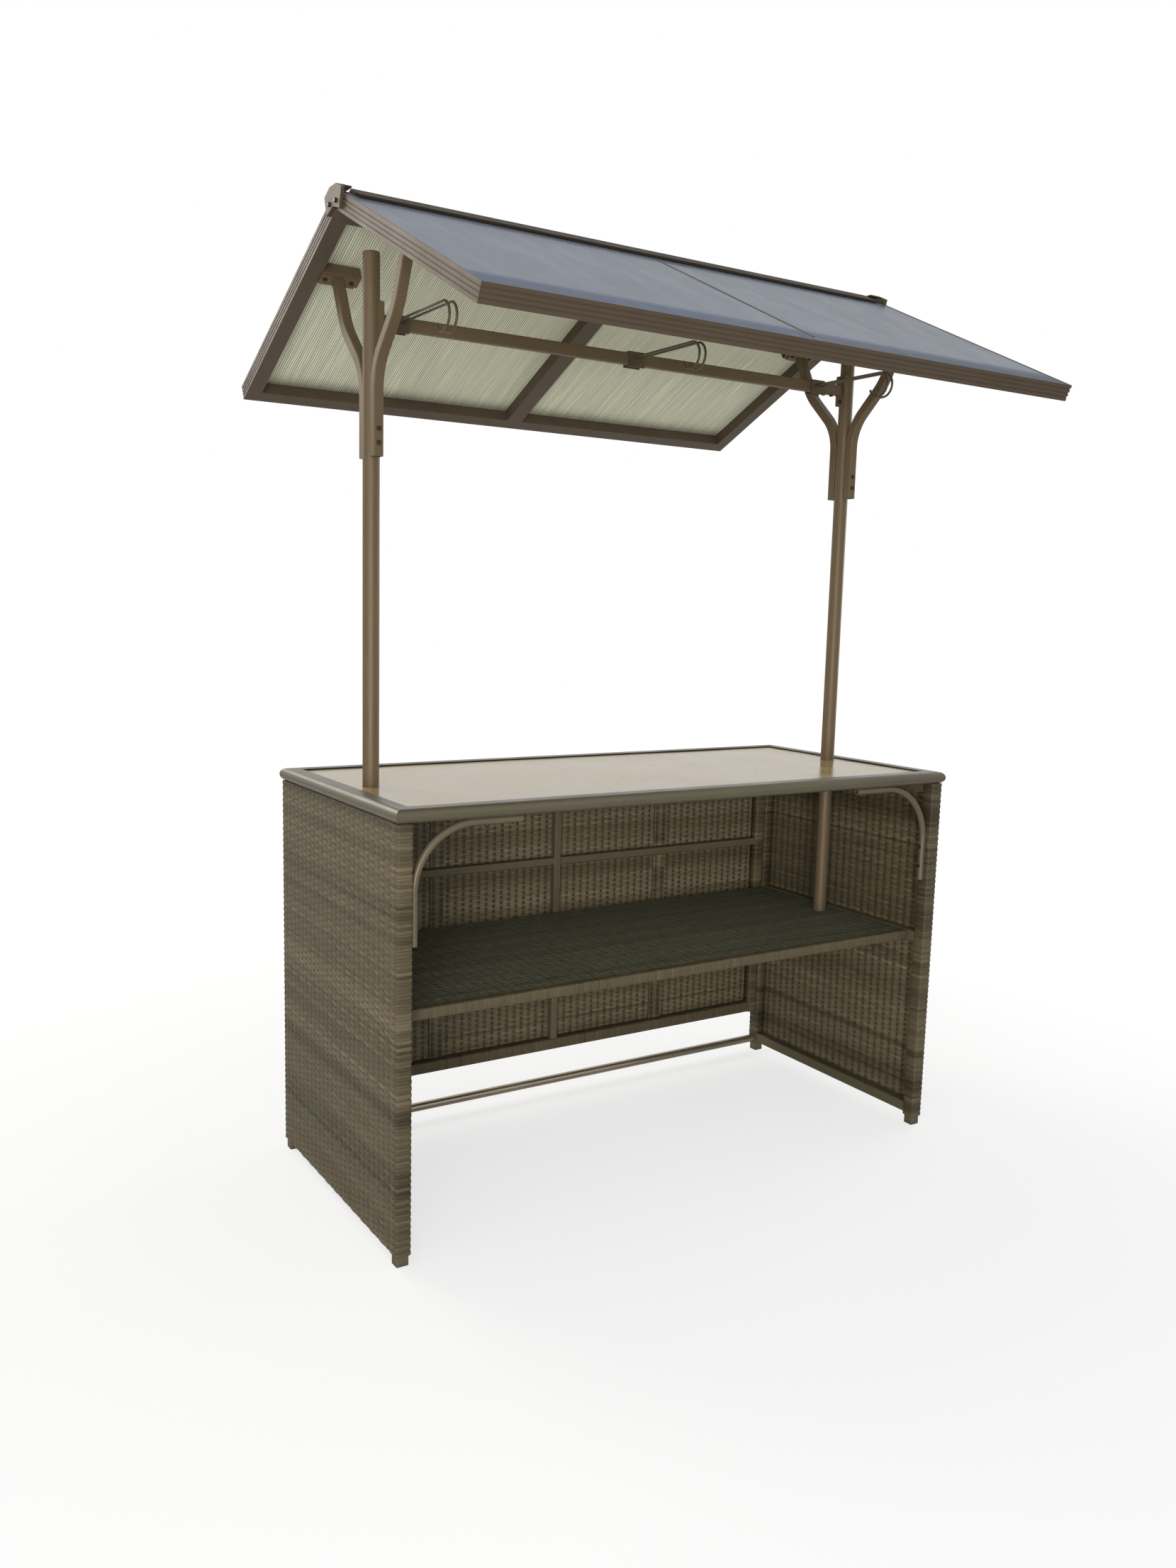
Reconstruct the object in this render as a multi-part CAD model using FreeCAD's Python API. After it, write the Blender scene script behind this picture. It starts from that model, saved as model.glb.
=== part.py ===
import FreeCAD, Part
import math
import os
from FreeCAD import Rotation, Vector

# Garden cocktail bar stand: a woven counter with a worktop, two posts and a glazed gable roof

os.makedirs("parts", exist_ok=True)

# Worktop, in millimetres
top_length = 1690.0
top_depth = 760.0
top_height = 1050.0
trim_height = 32.0
trim_width = 46.0
trim_wall = 2.5
ledge_width = 14.0
panel_recess = 4.0
panel_thickness = 12.0

# Counter ends
trim_overhang = 5.0
leg_size = 30.0
tube_wall = 2.0
tube_round = 3.0
weave_thickness = 4.5
end_weave_lift = 26.0
foot_height = 10.0
foot_plug = 25.0

# Counter back
back_tube = 25.0
back_weave_lift = 142.0
bare_tube = 22.0
mid_rail_height = 731.0
band_width = 40.0
band_thickness = 5.0
band_offset = 390.0
base_rail_diameter = 25.0
base_rail_height = 41.0

# Shelf
shelf_height = 577.0
shelf_tube = 18.0
shelf_setback = 69.0
shelf_lip = 22.0

# Worktop corner brackets
bracket_diameter = 18.0
bracket_bend = 150.0
bracket_reach = 278.0
bracket_drop = 278.0
bracket_bolt_first = 40.0
bracket_bolt_pitch = 54.0
trim_bolt_first = 18.0
trim_bolt_pitch = 72.0
spot_face = 0.9

# Posts
post_diameter = 40.0
post_wall = 2.0
post_inset = 100.0
post_below_ridge = 122.0
cap_height = 6.0
cap_plug = 20.0
cap_round = 3.0
spigot_height = 40.0

# Roof
ridge_height = 2405.0
roof_pitch = 25.3
slope_length = 789.0
roof_reach = 85.0
frame_width = 40.0
frame_depth = 40.0
frame_wall = 2.5
frame_lip = 5.0
mid_rafter_width = 50.0
mid_lip = 6.0
flute_width = 4.0
flute_depth = 1.5
flute_count = 3
pane_thickness = 6.0
pane_sink = 1.0
cap_sheet = 6.0
cap_leg = 58.0
cap_inset = 35.0
plate_thickness = 8.0
plate_top_half = 20.0
plate_shoulder = 57.0
plate_depth = 30.0
plate_crotch = 12.0
plate_rise = 15.0
plate_lip = 30.0
plate_lip_sheet = 3.0

# Roof braces and their arms
brace_size = 25.0
brace_foot = 145.0
brace_slant = 46.0
brace_lower_bend = 130.0
brace_upper_bend = 180.0
brace_top_run = 100.0
brace_station = 250.0
flange_length = 90.0
flange_width = 36.0
flange_thickness = 4.0
arm_depth = 30.0
arm_past_post = 55.0

# Hook rail
rail_height = 30.0
rail_depth = 20.0
rail_below_post_top = 135.0
rail_plate_height = 84.0
rail_plate_width = 36.0
rail_plate_thickness = 5.0
rail_spigot = 80.0
hook_left_gap = 40.0
hook_right_gap = 98.0
hook_middle_shift = -10.0
saddle_length = 50.0
saddle_wall = 3.0
saddle_drop = 6.0
hook_wire = 6.0
hook_spacing = 18.0
hook_arm = 250.0
hook_bend = 31.0
hook_floor = 8.0
hook_tip_bend = 22.0
hook_tip_turn = 65.0
hook_tip_run = 8.0
hook_wire_drop = 12.0

# Fasteners
bolt_shank = 6.0
bolt_head = 11.0
bolt_head_height = 4.5
bolt_head_round = 1.5
bolt_bite = 6.0
brace_bolt_first = 30.0
brace_bolt_pitch = 32.0
rail_bolt_first = 35.0
rail_bolt_pitch = 30.0

# Clearances
panel_clearance = 0.5
post_clearance = 1.0
plug_clearance = 0.2
weave_clearance = 0.3
slide_clearance = 0.3
hole_clearance = 0.2
shelf_clearance = 2.0
ridge_clearance = 1.0
cut_overrun = 1.0
same_length = 0.01

# Places that follow from the sizes
X, Y, Z = Vector(1, 0, 0), Vector(0, 1, 0), Vector(0, 0, 1)
ORIGIN = Vector(0, 0, 0)
under_trim = top_height - trim_height
leg_cover = leg_size + 2 * weave_thickness
leg_x = top_length / 2 - trim_overhang - leg_cover / 2
leg_y = top_depth / 2 - trim_overhang - leg_cover / 2
inner_x = leg_x - leg_cover / 2
weave_out_x = leg_x + leg_cover / 2
weave_out_y = leg_y + leg_cover / 2
post_x = top_length / 2 - post_inset
post_radius = post_diameter / 2
post_bore = post_radius - post_wall
post_top = ridge_height - post_below_ridge
shelf_tube_z = shelf_height - weave_thickness - shelf_tube / 2
shelf_front = -top_depth / 2 + shelf_setback
shelf_back = leg_y - leg_cover / 2 - shelf_clearance
shelf_end = leg_x - leg_size / 2
pitch = math.radians(roof_pitch)
roof_half = post_x + roof_reach
rebate = pane_thickness + pane_sink
ridge_setback = frame_depth * math.tan(pitch) + ridge_clearance
rail_z = post_top - rail_below_post_top - rail_height / 2
rail_end = post_x - post_radius - rail_plate_thickness
hook_places = {
    "left": hook_left_gap - rail_end,
    "middle": hook_middle_shift,
    "right": rail_end - hook_right_gap,
}


def save(node, *solids):
    """Write one node; a node of several solids becomes a group."""
    shape = solids[0] if len(solids) == 1 else Part.makeCompound(list(solids))
    shape.exportStep(f"parts/{node}.step")


def mirror_x(shape):
    return shape.mirror(ORIGIN, X)


def mirror_y(shape):
    return shape.mirror(ORIGIN, Y)


def block(low, high):
    """Box between two corners."""
    return Part.makeBox(high.x - low.x, high.y - low.y, high.z - low.z, low)


def prism(points, path):
    """Flat polygon carried along a straight path."""
    return Part.Face(Part.makePolygon(points + points[:1])).extrude(path)


def rectangle(origin, side, up, width, depth):
    """Closed rectangle about an origin, in the plane of two directions."""
    a = side * (width / 2)
    b = up * (depth / 2)
    corners = [origin - a - b, origin + a - b, origin + a + b, origin - a + b]
    return Part.makePolygon(corners + corners[:1])


def rounded_rectangle(origin, side, up, width, depth, radius):
    """Closed rectangle with round corners, about an origin."""
    edges = []
    half_w, half_d = width / 2 - radius, depth / 2 - radius
    quarter = [(side, up), (up, side * -1), (side * -1, up * -1), (up * -1, side)]
    signs = [(1, 1), (-1, 1), (-1, -1), (1, -1)]
    last = None
    first = None
    for (start, end), (sx, sy) in zip(quarter, signs):
        centre = origin + side * (sx * half_w) + up * (sy * half_d)
        begin = centre + start * radius
        middle = centre + (start + end) * (radius / math.sqrt(2))
        finish = centre + end * radius
        if last is None:
            first = begin
        else:
            edges.append(Part.LineSegment(last, begin).toShape())
        edges.append(Part.Arc(begin, middle, finish).toShape())
        last = finish
    edges.append(Part.LineSegment(last, first).toShape())
    return Part.Wire(edges)


def hollow_face(outer, inner):
    """Flat face inside one closed wire and outside another."""
    return Part.Face(outer).cut(Part.Face(inner)).Faces[0]


def tube_face(origin, side, up, width, depth, wall):
    """Section of a drawn tube: rounded outside, plain bore."""
    outer = rounded_rectangle(origin, side, up, width, depth, tube_round)
    bore = rectangle(origin, side, up, width - 2 * wall, depth - 2 * wall)
    return hollow_face(outer, bore)


def tube(start, end, side, width, depth=None, wall=tube_wall):
    """Straight drawn tube; width lies along side."""
    path = end - start
    up = (path * (1 / path.Length)).cross(side)
    return tube_face(start, side, up, width, depth or width, wall).extrude(path)


def rod(start, direction, diameter, length):
    return Part.makeCylinder(diameter / 2, length, start, direction)


def pipe(start, direction, diameter, wall, length):
    return rod(start, direction, diameter, length).cut(rod(start, direction, diameter - 2 * wall, length))


def follow(face, start, heading, normal, moves):
    """Carry a face along runs (length,) and arcs (radius, turn) that lie in one plane."""
    pieces = []
    place = start
    for move in moves:
        if len(move) == 1:
            step = heading * move[0]
            pieces.append(face.extrude(step))
            face = face.translated(step)
            place = place + step
        else:
            radius, turn = move
            sense = normal if turn > 0 else normal * -1
            centre = place + sense.cross(heading) * radius
            pieces.append(face.revolve(centre, sense, abs(turn)))
            face = face.copy()
            face.rotate(centre, sense, abs(turn))
            swing = Rotation(sense, abs(turn))
            place = centre + swing.multVec(place - centre)
            heading = swing.multVec(heading)
    return pieces[0].fuse(pieces[1:]).removeSplitter()


def bolt(seat, direction, length):
    """Button-head bolt: the head stands on the seat and the shank runs on along the direction."""
    head = rod(seat - direction * bolt_head_height, direction, bolt_head, bolt_head_height)
    rims = [e for e in head.Edges if e.Closed]
    crown = [e for e in rims if (e.CenterOfMass - seat).Length > bolt_head_height / 2]
    head = head.makeFillet(bolt_head_round, crown)
    return head.fuse(rod(seat, direction, bolt_shank, length))


def bolt_hole(seat, direction, length):
    bore = bolt_shank + 2 * hole_clearance
    return rod(seat - direction * cut_overrun, direction, bore, length + 2 * cut_overrun)


def head_seat(seat, direction):
    """Spot face for a bolt head."""
    width = bolt_head + 2 * hole_clearance
    return rod(seat - direction * bolt_head_height, direction, width, bolt_head_height)


# Worktop: four mitred trim bars round a sunk panel
def trim_bar(length):
    """Half-round edge bar along X, outer edge on y = 0, top on z = 0, ends mitred."""
    r = trim_height / 2
    inner = trim_width + ledge_width
    ledge = -(panel_recess + panel_thickness)
    corners = [(r, 0), (trim_width, 0), (trim_width, ledge), (inner, ledge)]
    corners += [(inner, -trim_height), (r, -trim_height)]
    points = [Vector(0, y, z) for y, z in corners]
    nose = Part.Arc(points[-1], Vector(0, 0, -r), points[0]).toShape()
    outline = Part.Wire(Part.makePolygon(points).Edges + [nose])
    w = trim_wall
    hollow = [Vector(0, r, -w), Vector(0, trim_width - w, -w), Vector(0, trim_width - w, w - trim_height)]
    hollow.append(Vector(0, r, w - trim_height))
    inside = Part.Arc(hollow[-1], Vector(0, w, -r), hollow[0]).toShape()
    cavity = Part.Wire(Part.makePolygon(hollow).Edges + [inside])
    bar = hollow_face(outline, cavity).extrude(X * length).translated(X * (-length / 2))
    half = length / 2
    plan = [(-half, 0), (half, 0), (half - inner, inner), (inner - half, inner)]
    return bar.common(prism([Vector(x, y, -trim_height) for x, y in plan], Z * trim_height))


def place_trim(length, turn, offset):
    bar = trim_bar(length)
    bar.rotate(ORIGIN, Z, turn)
    return bar.translated(offset + Z * top_height)


worktop_trims = {
    "trim_front": place_trim(top_length, 0, Y * (-top_depth / 2)),
    "trim_back": place_trim(top_length, 180, Y * (top_depth / 2)),
    "trim_left": place_trim(top_depth, -90, X * (-top_length / 2)),
    "trim_right": place_trim(top_depth, 90, X * (top_length / 2)),
}


def worktop_panel():
    half_x = top_length / 2 - trim_width - panel_clearance
    half_y = top_depth / 2 - trim_width - panel_clearance
    upper = top_height - panel_recess
    lower = upper - panel_thickness
    panel = block(Vector(-half_x, -half_y, lower), Vector(half_x, half_y, upper))
    bore = post_diameter + 2 * post_clearance
    for side in (-1, 1):
        panel = panel.cut(rod(Vector(side * post_x, 0, lower), Z, bore, panel_thickness))
    return panel


# Counter ends, built on the left and mirrored to the right
def end_rail(height, growth=0.0):
    """Rail between the two legs of an end, as a tube or as its cutting envelope."""
    reach = leg_y - leg_size / 2
    if growth:
        half = leg_size / 2 + growth
        low = Vector(-leg_x - half, -leg_y, height - half)
        return block(low, Vector(-leg_x + half, leg_y, height + half))
    return tube(Vector(-leg_x, -reach, height), Vector(-leg_x, reach, height), X, leg_size)


end_rail_heights = [
    end_weave_lift + weave_thickness + leg_size / 2,
    shelf_tube_z,
    under_trim - leg_size / 2,
]


def bracket_bolt_seats():
    """Seats of the bolts that hold the left corner bracket to the leg."""
    face_x = -inner_x + bracket_diameter - spot_face
    first = under_trim - bracket_drop + bracket_bolt_first
    return [Vector(face_x, -leg_y, z) for z in (first, first + bracket_bolt_pitch)]


def end_frame():
    legs = []
    for side in (-1, 1):
        foot = Vector(-leg_x, side * leg_y, foot_height)
        leg = tube(foot, Vector(foot.x, foot.y, under_trim), X, leg_size)
        if side < 0:
            for seat in bracket_bolt_seats():
                leg = leg.cut(bolt_hole(seat, X * -1, bracket_diameter + weave_thickness + bolt_bite))
        legs.append(leg)
    return legs + [end_rail(height) for height in end_rail_heights]


def leg_sleeve(side):
    """Woven sleeve wrapped round one leg, open where the rails and the base rail pass."""
    low = Vector(-leg_x, side * leg_y, end_weave_lift)
    outer = rounded_rectangle(low, X, Y, leg_cover, leg_cover, tube_round)
    inner = leg_size + 2 * weave_clearance
    sleeve = hollow_face(outer, rectangle(low, X, Y, inner, inner)).extrude(Z * (under_trim - end_weave_lift))
    for height in end_rail_heights:
        sleeve = sleeve.cut(end_rail(height, weave_clearance))
    if side > 0:
        bore = base_rail_diameter + 2 * weave_clearance
        return sleeve.cut(rod(Vector(-leg_x, leg_y, base_rail_height), X, bore, leg_cover))
    for seat in bracket_bolt_seats():
        sleeve = sleeve.cut(bolt_hole(seat, X * -1, bracket_diameter + weave_thickness))
    return sleeve


def end_weave():
    reach = leg_y - leg_cover / 2
    low = Vector(-weave_out_x, -reach, end_weave_lift)
    high = Vector(-weave_out_x + weave_thickness, reach, under_trim)
    return [leg_sleeve(-1), block(low, high), leg_sleeve(1)]


def leg_foot(x, y):
    """Moulded foot with a plug that enters the leg."""
    sole = rounded_rectangle(Vector(x, y, 0), X, Y, leg_size, leg_size, tube_round)
    pad = Part.Face(sole).extrude(Z * foot_height)
    size = leg_size - 2 * tube_wall - 2 * plug_clearance
    plug = Part.Face(rectangle(Vector(x, y, foot_height), X, Y, size, size)).extrude(Z * foot_plug)
    return pad.fuse(plug)


# Counter back: a wrapped frame, a bare cross of tubes and two flat bands
back_cover = back_tube + 2 * weave_thickness
back_y = weave_out_y - back_cover / 2
back_stile_x = inner_x - back_cover / 2
back_field_x = inner_x - back_cover
back_low_z = back_weave_lift + back_cover / 2
back_field_low = back_weave_lift + back_cover
back_weave_in = weave_out_y - weave_thickness
bare_y = back_weave_in - band_thickness - bare_tube / 2
back_top_low = under_trim - back_tube


def back_frame():
    pieces = []
    reach = back_stile_x - back_tube / 2
    for side in (-1, 1):
        foot = Vector(side * back_stile_x, back_y, back_weave_lift)
        pieces.append(tube(foot, Vector(foot.x, foot.y, under_trim), X, back_tube))
        near = Vector(side * bare_tube / 2, bare_y, mid_rail_height)
        pieces.append(tube(near, Vector(side * back_field_x, bare_y, mid_rail_height), Y, bare_tube))
        low = Vector(side * band_offset - band_width / 2, back_weave_in - band_thickness, back_field_low)
        high = Vector(side * band_offset + band_width / 2, back_weave_in, back_top_low)
        pieces.append(block(low, high))
    for height in (back_low_z, back_top_low + back_tube / 2):
        pieces.append(tube(Vector(-reach, back_y, height), Vector(reach, back_y, height), Y, back_tube))
    low = Vector(0, bare_y, back_field_low)
    pieces.append(tube(low, Vector(0, bare_y, back_top_low), X, bare_tube))
    return pieces


def back_sleeve(start, path, side, up):
    """Woven sleeve round one tube of the back frame."""
    outer = rounded_rectangle(start, side, up, back_cover, back_cover, tube_round)
    bore = back_tube + 2 * weave_clearance
    return hollow_face(outer, rectangle(start, side, up, bore, bore)).extrude(path)


def back_weave():
    pieces = []
    height = under_trim - back_weave_lift
    half = back_tube / 2 + weave_clearance
    for side in (-1, 1):
        sleeve = back_sleeve(Vector(side * back_stile_x, back_y, back_weave_lift), Z * height, X, Y)
        for level in (back_low_z, under_trim - back_tube / 2):
            low = Vector(-back_stile_x, back_y - half, level - half)
            sleeve = sleeve.cut(block(low, Vector(back_stile_x, back_y + half, level + half)))
        pieces.append(sleeve)
    pieces.append(back_sleeve(Vector(-back_field_x, back_y, back_low_z), X * (2 * back_field_x), Y, Z))
    low = Vector(-back_field_x, back_weave_in, back_field_low)
    pieces.append(block(low, Vector(back_field_x, weave_out_y, under_trim)))
    return pieces


def base_rail():
    return pipe(Vector(-shelf_end, leg_y, base_rail_height), X, base_rail_diameter, tube_wall, 2 * shelf_end)


# Shelf: a tube frame between the end rails, covered by weave that turns over the front tube
def shelf_frame():
    front = shelf_front + weave_thickness + shelf_tube / 2
    back = shelf_back - shelf_tube / 2
    pieces = []
    for y in (front, back):
        start = Vector(-shelf_end, y, shelf_tube_z)
        pieces.append(tube(start, Vector(shelf_end, y, shelf_tube_z), Y, shelf_tube))
    for x in (shelf_tube / 2 - shelf_end, -post_x, 0, post_x, shelf_end - shelf_tube / 2):
        start = Vector(x, front + shelf_tube / 2, shelf_tube_z)
        pieces.append(tube(start, Vector(x, back - shelf_tube / 2, shelf_tube_z), X, shelf_tube))
    return pieces


def shelf_weave():
    under = shelf_height - weave_thickness
    low = under - shelf_tube
    top = block(Vector(-shelf_end, shelf_front, under), Vector(shelf_end, shelf_back, shelf_height))
    for side in (-1, 1):
        top = top.cut(rod(Vector(side * post_x, 0, under), Z, 2 * post_bore, weave_thickness))
    face = shelf_front + weave_thickness
    nose = block(Vector(-shelf_end, shelf_front, low - weave_thickness), Vector(shelf_end, face, under))
    lip = block(Vector(-shelf_end, face, low - weave_thickness), Vector(shelf_end, face + shelf_lip, low))
    return [top, nose, lip]


# Corner brackets: bent round tubes under the worktop, one arm on the trim and one on the front leg
def corner_bracket():
    r = bracket_diameter / 2
    start = Vector(-inner_x + r, -leg_y, under_trim - bracket_drop)
    rise = bracket_drop - r - bracket_bend
    run = bracket_reach - r - bracket_bend
    rings = [Part.Wire(Part.makeCircle(size, start, Z)) for size in (r, r - tube_wall)]
    moves = [(rise,), (bracket_bend, 90), (run,)]
    shape = follow(hollow_face(*rings), start, Z, Y, moves)
    for seat in bracket_bolt_seats():
        shape = shape.cut(bolt_hole(seat, X * -1, bracket_diameter)).cut(head_seat(seat, X * -1))
    for seat in trim_bolt_seats():
        shape = shape.cut(bolt_hole(seat, Z, bracket_diameter)).cut(head_seat(seat, Z))
    return shape


def trim_bolt_seats():
    """Seats of the bolts that hold the bracket's level arm to the trim."""
    z = under_trim - bracket_diameter + spot_face
    first = bracket_reach - inner_x - trim_bolt_first
    return [Vector(x, -leg_y, z) for x in (first, first - trim_bolt_pitch)]


def corner_bolts():
    long = bracket_diameter + weave_thickness + bolt_bite
    short = bracket_diameter + bolt_bite
    out = [bolt(seat, X * -1, long) for seat in bracket_bolt_seats()]
    return out + [bolt(seat, Z, short) for seat in trim_bolt_seats()]


# Roof: one slope in flat coordinates, y from the ridge to the eave and z = 0 on the frame's upper lips
def to_rear(shape):
    out = shape.copy()
    out.rotate(ORIGIN, X, -roof_pitch)
    return out.translated(Z * ridge_height)


def to_front(shape):
    return mirror_y(to_rear(shape))


def frame_bar(length):
    """Glazing frame bar along Y: lip and rebate above, flutes on the outer face at x = 0."""
    points = [(0, 0), (frame_lip, 0), (frame_lip, -rebate), (frame_width, -rebate)]
    points += [(frame_width, -frame_depth), (0, -frame_depth)]
    pitch_z = frame_depth / (flute_count + 1)
    for number in range(flute_count, 0, -1):
        z = -pitch_z * number
        points += [(0, z - flute_width / 2), (flute_depth, z - flute_width / 4)]
        points += [(flute_depth, z + flute_width / 4), (0, z + flute_width / 2)]
    outline = [Vector(x, 0, z) for x, z in points]
    side = flute_depth + frame_wall
    low, high = frame_wall - frame_depth, -rebate - frame_wall
    bore = [Vector(side, 0, low), Vector(frame_width - frame_wall, 0, low)]
    bore += [Vector(frame_width - frame_wall, 0, high), Vector(side, 0, high)]
    loops = [Part.makePolygon(loop + loop[:1]) for loop in (outline, bore)]
    return hollow_face(*loops).extrude(Y * length)


def mitre(length):
    """Mould that mitres both ends of a frame bar."""
    plan = [(0, 0), (frame_width, frame_width), (frame_width, length - frame_width), (0, length)]
    return prism([Vector(x, y, -frame_depth) for x, y in plan], Z * frame_depth)


def mitred_bar(length):
    return frame_bar(length).common(mitre(length))


def ridge_bolt_seat(side):
    """Seat of the bolt that holds the end plate to the rafter, on the left rear slope for side 1."""
    v, w = ridge_setback + bolt_head, -frame_depth / 2
    y = v * math.cos(pitch) + w * math.sin(pitch)
    z = ridge_height - v * math.sin(pitch) + w * math.cos(pitch)
    return Vector(-roof_half - plate_thickness, side * y, z)


ridge_bolt_length = plate_thickness + flute_depth + frame_wall + bolt_bite


def rafter_left():
    bar = mitred_bar(slope_length - ridge_setback).translated(Vector(-roof_half, ridge_setback, 0))
    return to_rear(bar).cut(bolt_hole(ridge_bolt_seat(1), X, ridge_bolt_length))


def cross_bar(turn, offset):
    """Eave or ridge bar: a frame bar turned to run along X."""
    bar = mitred_bar(2 * roof_half)
    bar.rotate(ORIGIN, Z, turn)
    return to_rear(bar.translated(offset))


def rafter_mid():
    half, lip = mid_rafter_width / 2, mid_lip / 2
    points = [(-lip, 0), (lip, 0), (lip, -rebate), (half, -rebate), (half, -frame_depth)]
    points += [(-half, -frame_depth), (-half, -rebate), (-lip, -rebate)]
    start = ridge_setback + frame_width
    outline = [Vector(x, start, z) for x, z in points]
    low, high, side = frame_wall - frame_depth, -rebate - frame_wall, half - frame_wall
    bore = [Vector(x, start, z) for x, z in ((-side, low), (side, low), (side, high), (-side, high))]
    loops = [Part.makePolygon(loop + loop[:1]) for loop in (outline, bore)]
    return to_rear(hollow_face(*loops).extrude(Y * (slope_length - frame_width - start)))


def pane_left():
    edge = frame_lip + panel_clearance
    low = Vector(edge - roof_half, ridge_setback + edge, -rebate)
    high = Vector(-mid_lip / 2 - panel_clearance, slope_length - edge, -pane_sink)
    return to_rear(block(low, high))


def flange_seats():
    """Seats of the screws under the left rear flange, in flat slope coordinates."""
    z = -frame_depth - flange_thickness
    reach = flange_length / 2 - bolt_head
    return [Vector(-post_x + side * reach, brace_station, z) for side in (-1, 1)]


flange_screw_length = flange_thickness + tube_wall + bolt_bite


def brace_arm():
    """Short arm from the gable rafter inwards over the post, which carries a brace."""
    z = arm_depth / 2 - frame_depth
    start = Vector(frame_width - roof_half, brace_station, z)
    arm = tube(start, Vector(arm_past_post - post_x, brace_station, z), Y, frame_width, arm_depth)
    for seat in flange_seats():
        arm = arm.cut(bolt_hole(seat, Z, flange_screw_length))
    return to_rear(arm)


# Braces: square tube that lies on the post, leans out and meets its flange square to the slope
brace_axis_y = post_radius + brace_size / 2
brace_top_w = frame_depth + flange_thickness
brace_top_y = brace_station * math.cos(pitch) - brace_top_w * math.sin(pitch)
brace_top_z = ridge_height - brace_station * math.sin(pitch) - brace_top_w * math.cos(pitch)
slant = math.radians(brace_slant)
brace_spread = brace_top_run * math.sin(pitch) + brace_upper_bend * (math.cos(pitch) - math.cos(slant))
brace_spread += brace_lower_bend * (1 - math.cos(slant))
brace_mid_run = (brace_top_y - brace_axis_y - brace_spread) / math.sin(slant)
brace_rise = brace_top_run * math.cos(pitch) + brace_upper_bend * (math.sin(slant) - math.sin(pitch))
brace_rise += brace_mid_run * math.cos(slant) + brace_lower_bend * math.sin(slant)
brace_low = brace_top_z - brace_rise - brace_foot
brace_bolt_length = brace_size + post_wall + bolt_bite


def brace_bolt_seats():
    y = post_radius + brace_size
    first = brace_low + brace_bolt_first
    return [Vector(-post_x, y, z) for z in (first, first + brace_bolt_pitch)]


def brace():
    start = Vector(-post_x, brace_axis_y, brace_low)
    moves = [(brace_foot,), (brace_lower_bend, -brace_slant), (brace_mid_run,)]
    moves += [(brace_upper_bend, brace_slant - roof_pitch), (brace_top_run,)]
    leg = follow(tube_face(start, X, Y, brace_size, brace_size, tube_wall), start, Z, X, moves)
    for seat in brace_bolt_seats():
        leg = leg.cut(bolt_hole(seat, Y * -1, brace_size))
    half_x, half_y = flange_length / 2, flange_width / 2
    low = Vector(-post_x - half_x, brace_station - half_y, -frame_depth - flange_thickness)
    flange = block(low, Vector(-post_x + half_x, brace_station + half_y, -frame_depth))
    for seat in flange_seats():
        flange = flange.cut(bolt_hole(seat, Z, flange_thickness))
    return leg.fuse(to_rear(flange))


# Ridge: cap sheet over both top bars and, on each gable end, a plate with a lip bent in over the bars
def ridge_cap():
    def on_slope(v, w, side):
        y = side * (v * math.cos(pitch) + w * math.sin(pitch))
        return Vector(cap_inset - roof_half, y, ridge_height - v * math.sin(pitch) + w * math.cos(pitch))

    peak = cap_sheet / math.cos(pitch)
    apex = Vector(cap_inset - roof_half, 0, ridge_height)
    points = [apex, on_slope(cap_leg, 0, 1), on_slope(cap_leg, cap_sheet, 1), apex + Z * peak]
    points += [on_slope(cap_leg, cap_sheet, -1), on_slope(cap_leg, 0, -1)]
    return prism(points, X * (2 * (roof_half - cap_inset)))


def ridge_plate():
    x = -roof_half - plate_thickness
    shoulder_y = plate_shoulder * math.cos(pitch)
    shoulder_z = -plate_shoulder * math.sin(pitch)
    leg_end_y = shoulder_y - plate_depth * math.sin(pitch)
    leg_end_z = shoulder_z - plate_depth * math.cos(pitch)
    top_z = plate_rise - plate_top_half * math.tan(pitch)
    half = [(plate_top_half, top_z), (shoulder_y, shoulder_z + plate_rise), (leg_end_y, leg_end_z)]
    crotch = [(0, leg_end_z + plate_crotch)]
    ring = half + crotch + [(-y, z) for y, z in reversed(half)]
    plate = prism([Vector(x, y, ridge_height + z) for y, z in ring], X * plate_thickness)
    for side in (-1, 1):
        plate = plate.cut(bolt_hole(ridge_bolt_seat(side), X, plate_thickness))
    lip_top = ridge_height + top_z
    lip_low = Vector(-roof_half, -plate_top_half, lip_top - plate_lip_sheet)
    lip = block(lip_low, Vector(plate_lip - roof_half, plate_top_half, lip_top))
    return plate.fuse(lip)


# Posts
def bracket_screw_seats():
    """Seats of the screws that hold the left rail bracket to the post."""
    reach = rail_plate_height / 2 - bolt_head
    return [Vector(-rail_end, 0, rail_z + side * reach) for side in (-1, 1)]


bracket_screw_length = rail_plate_thickness + post_wall + bolt_bite


def post():
    foot = Vector(-post_x, 0, shelf_height)
    shape = pipe(foot, Z, post_diameter, post_wall, post_top - cap_height - shelf_height)
    for seat in brace_bolt_seats():
        shape = shape.cut(bolt_hole(seat, Y * -1, 2 * (post_radius + brace_size)))
    for seat in bracket_screw_seats():
        shape = shape.cut(bolt_hole(seat, X * -1, bracket_screw_length))
    return shape


def post_cap():
    seat = Vector(-post_x, 0, post_top - cap_height)
    dome = rod(seat, Z, post_diameter, cap_height)
    rim = [e for e in dome.Edges if e.Closed and e.CenterOfMass.z > seat.z + cap_height / 2]
    plug = rod(seat - Z * cap_plug, Z, 2 * (post_bore - plug_clearance), cap_plug)
    return dome.makeFillet(cap_round, rim).fuse(plug)


def post_spigot():
    seat = Vector(-post_x, 0, shelf_height - weave_thickness)
    return rod(seat, Z, 2 * (post_bore - plug_clearance), weave_thickness + spigot_height)


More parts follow.
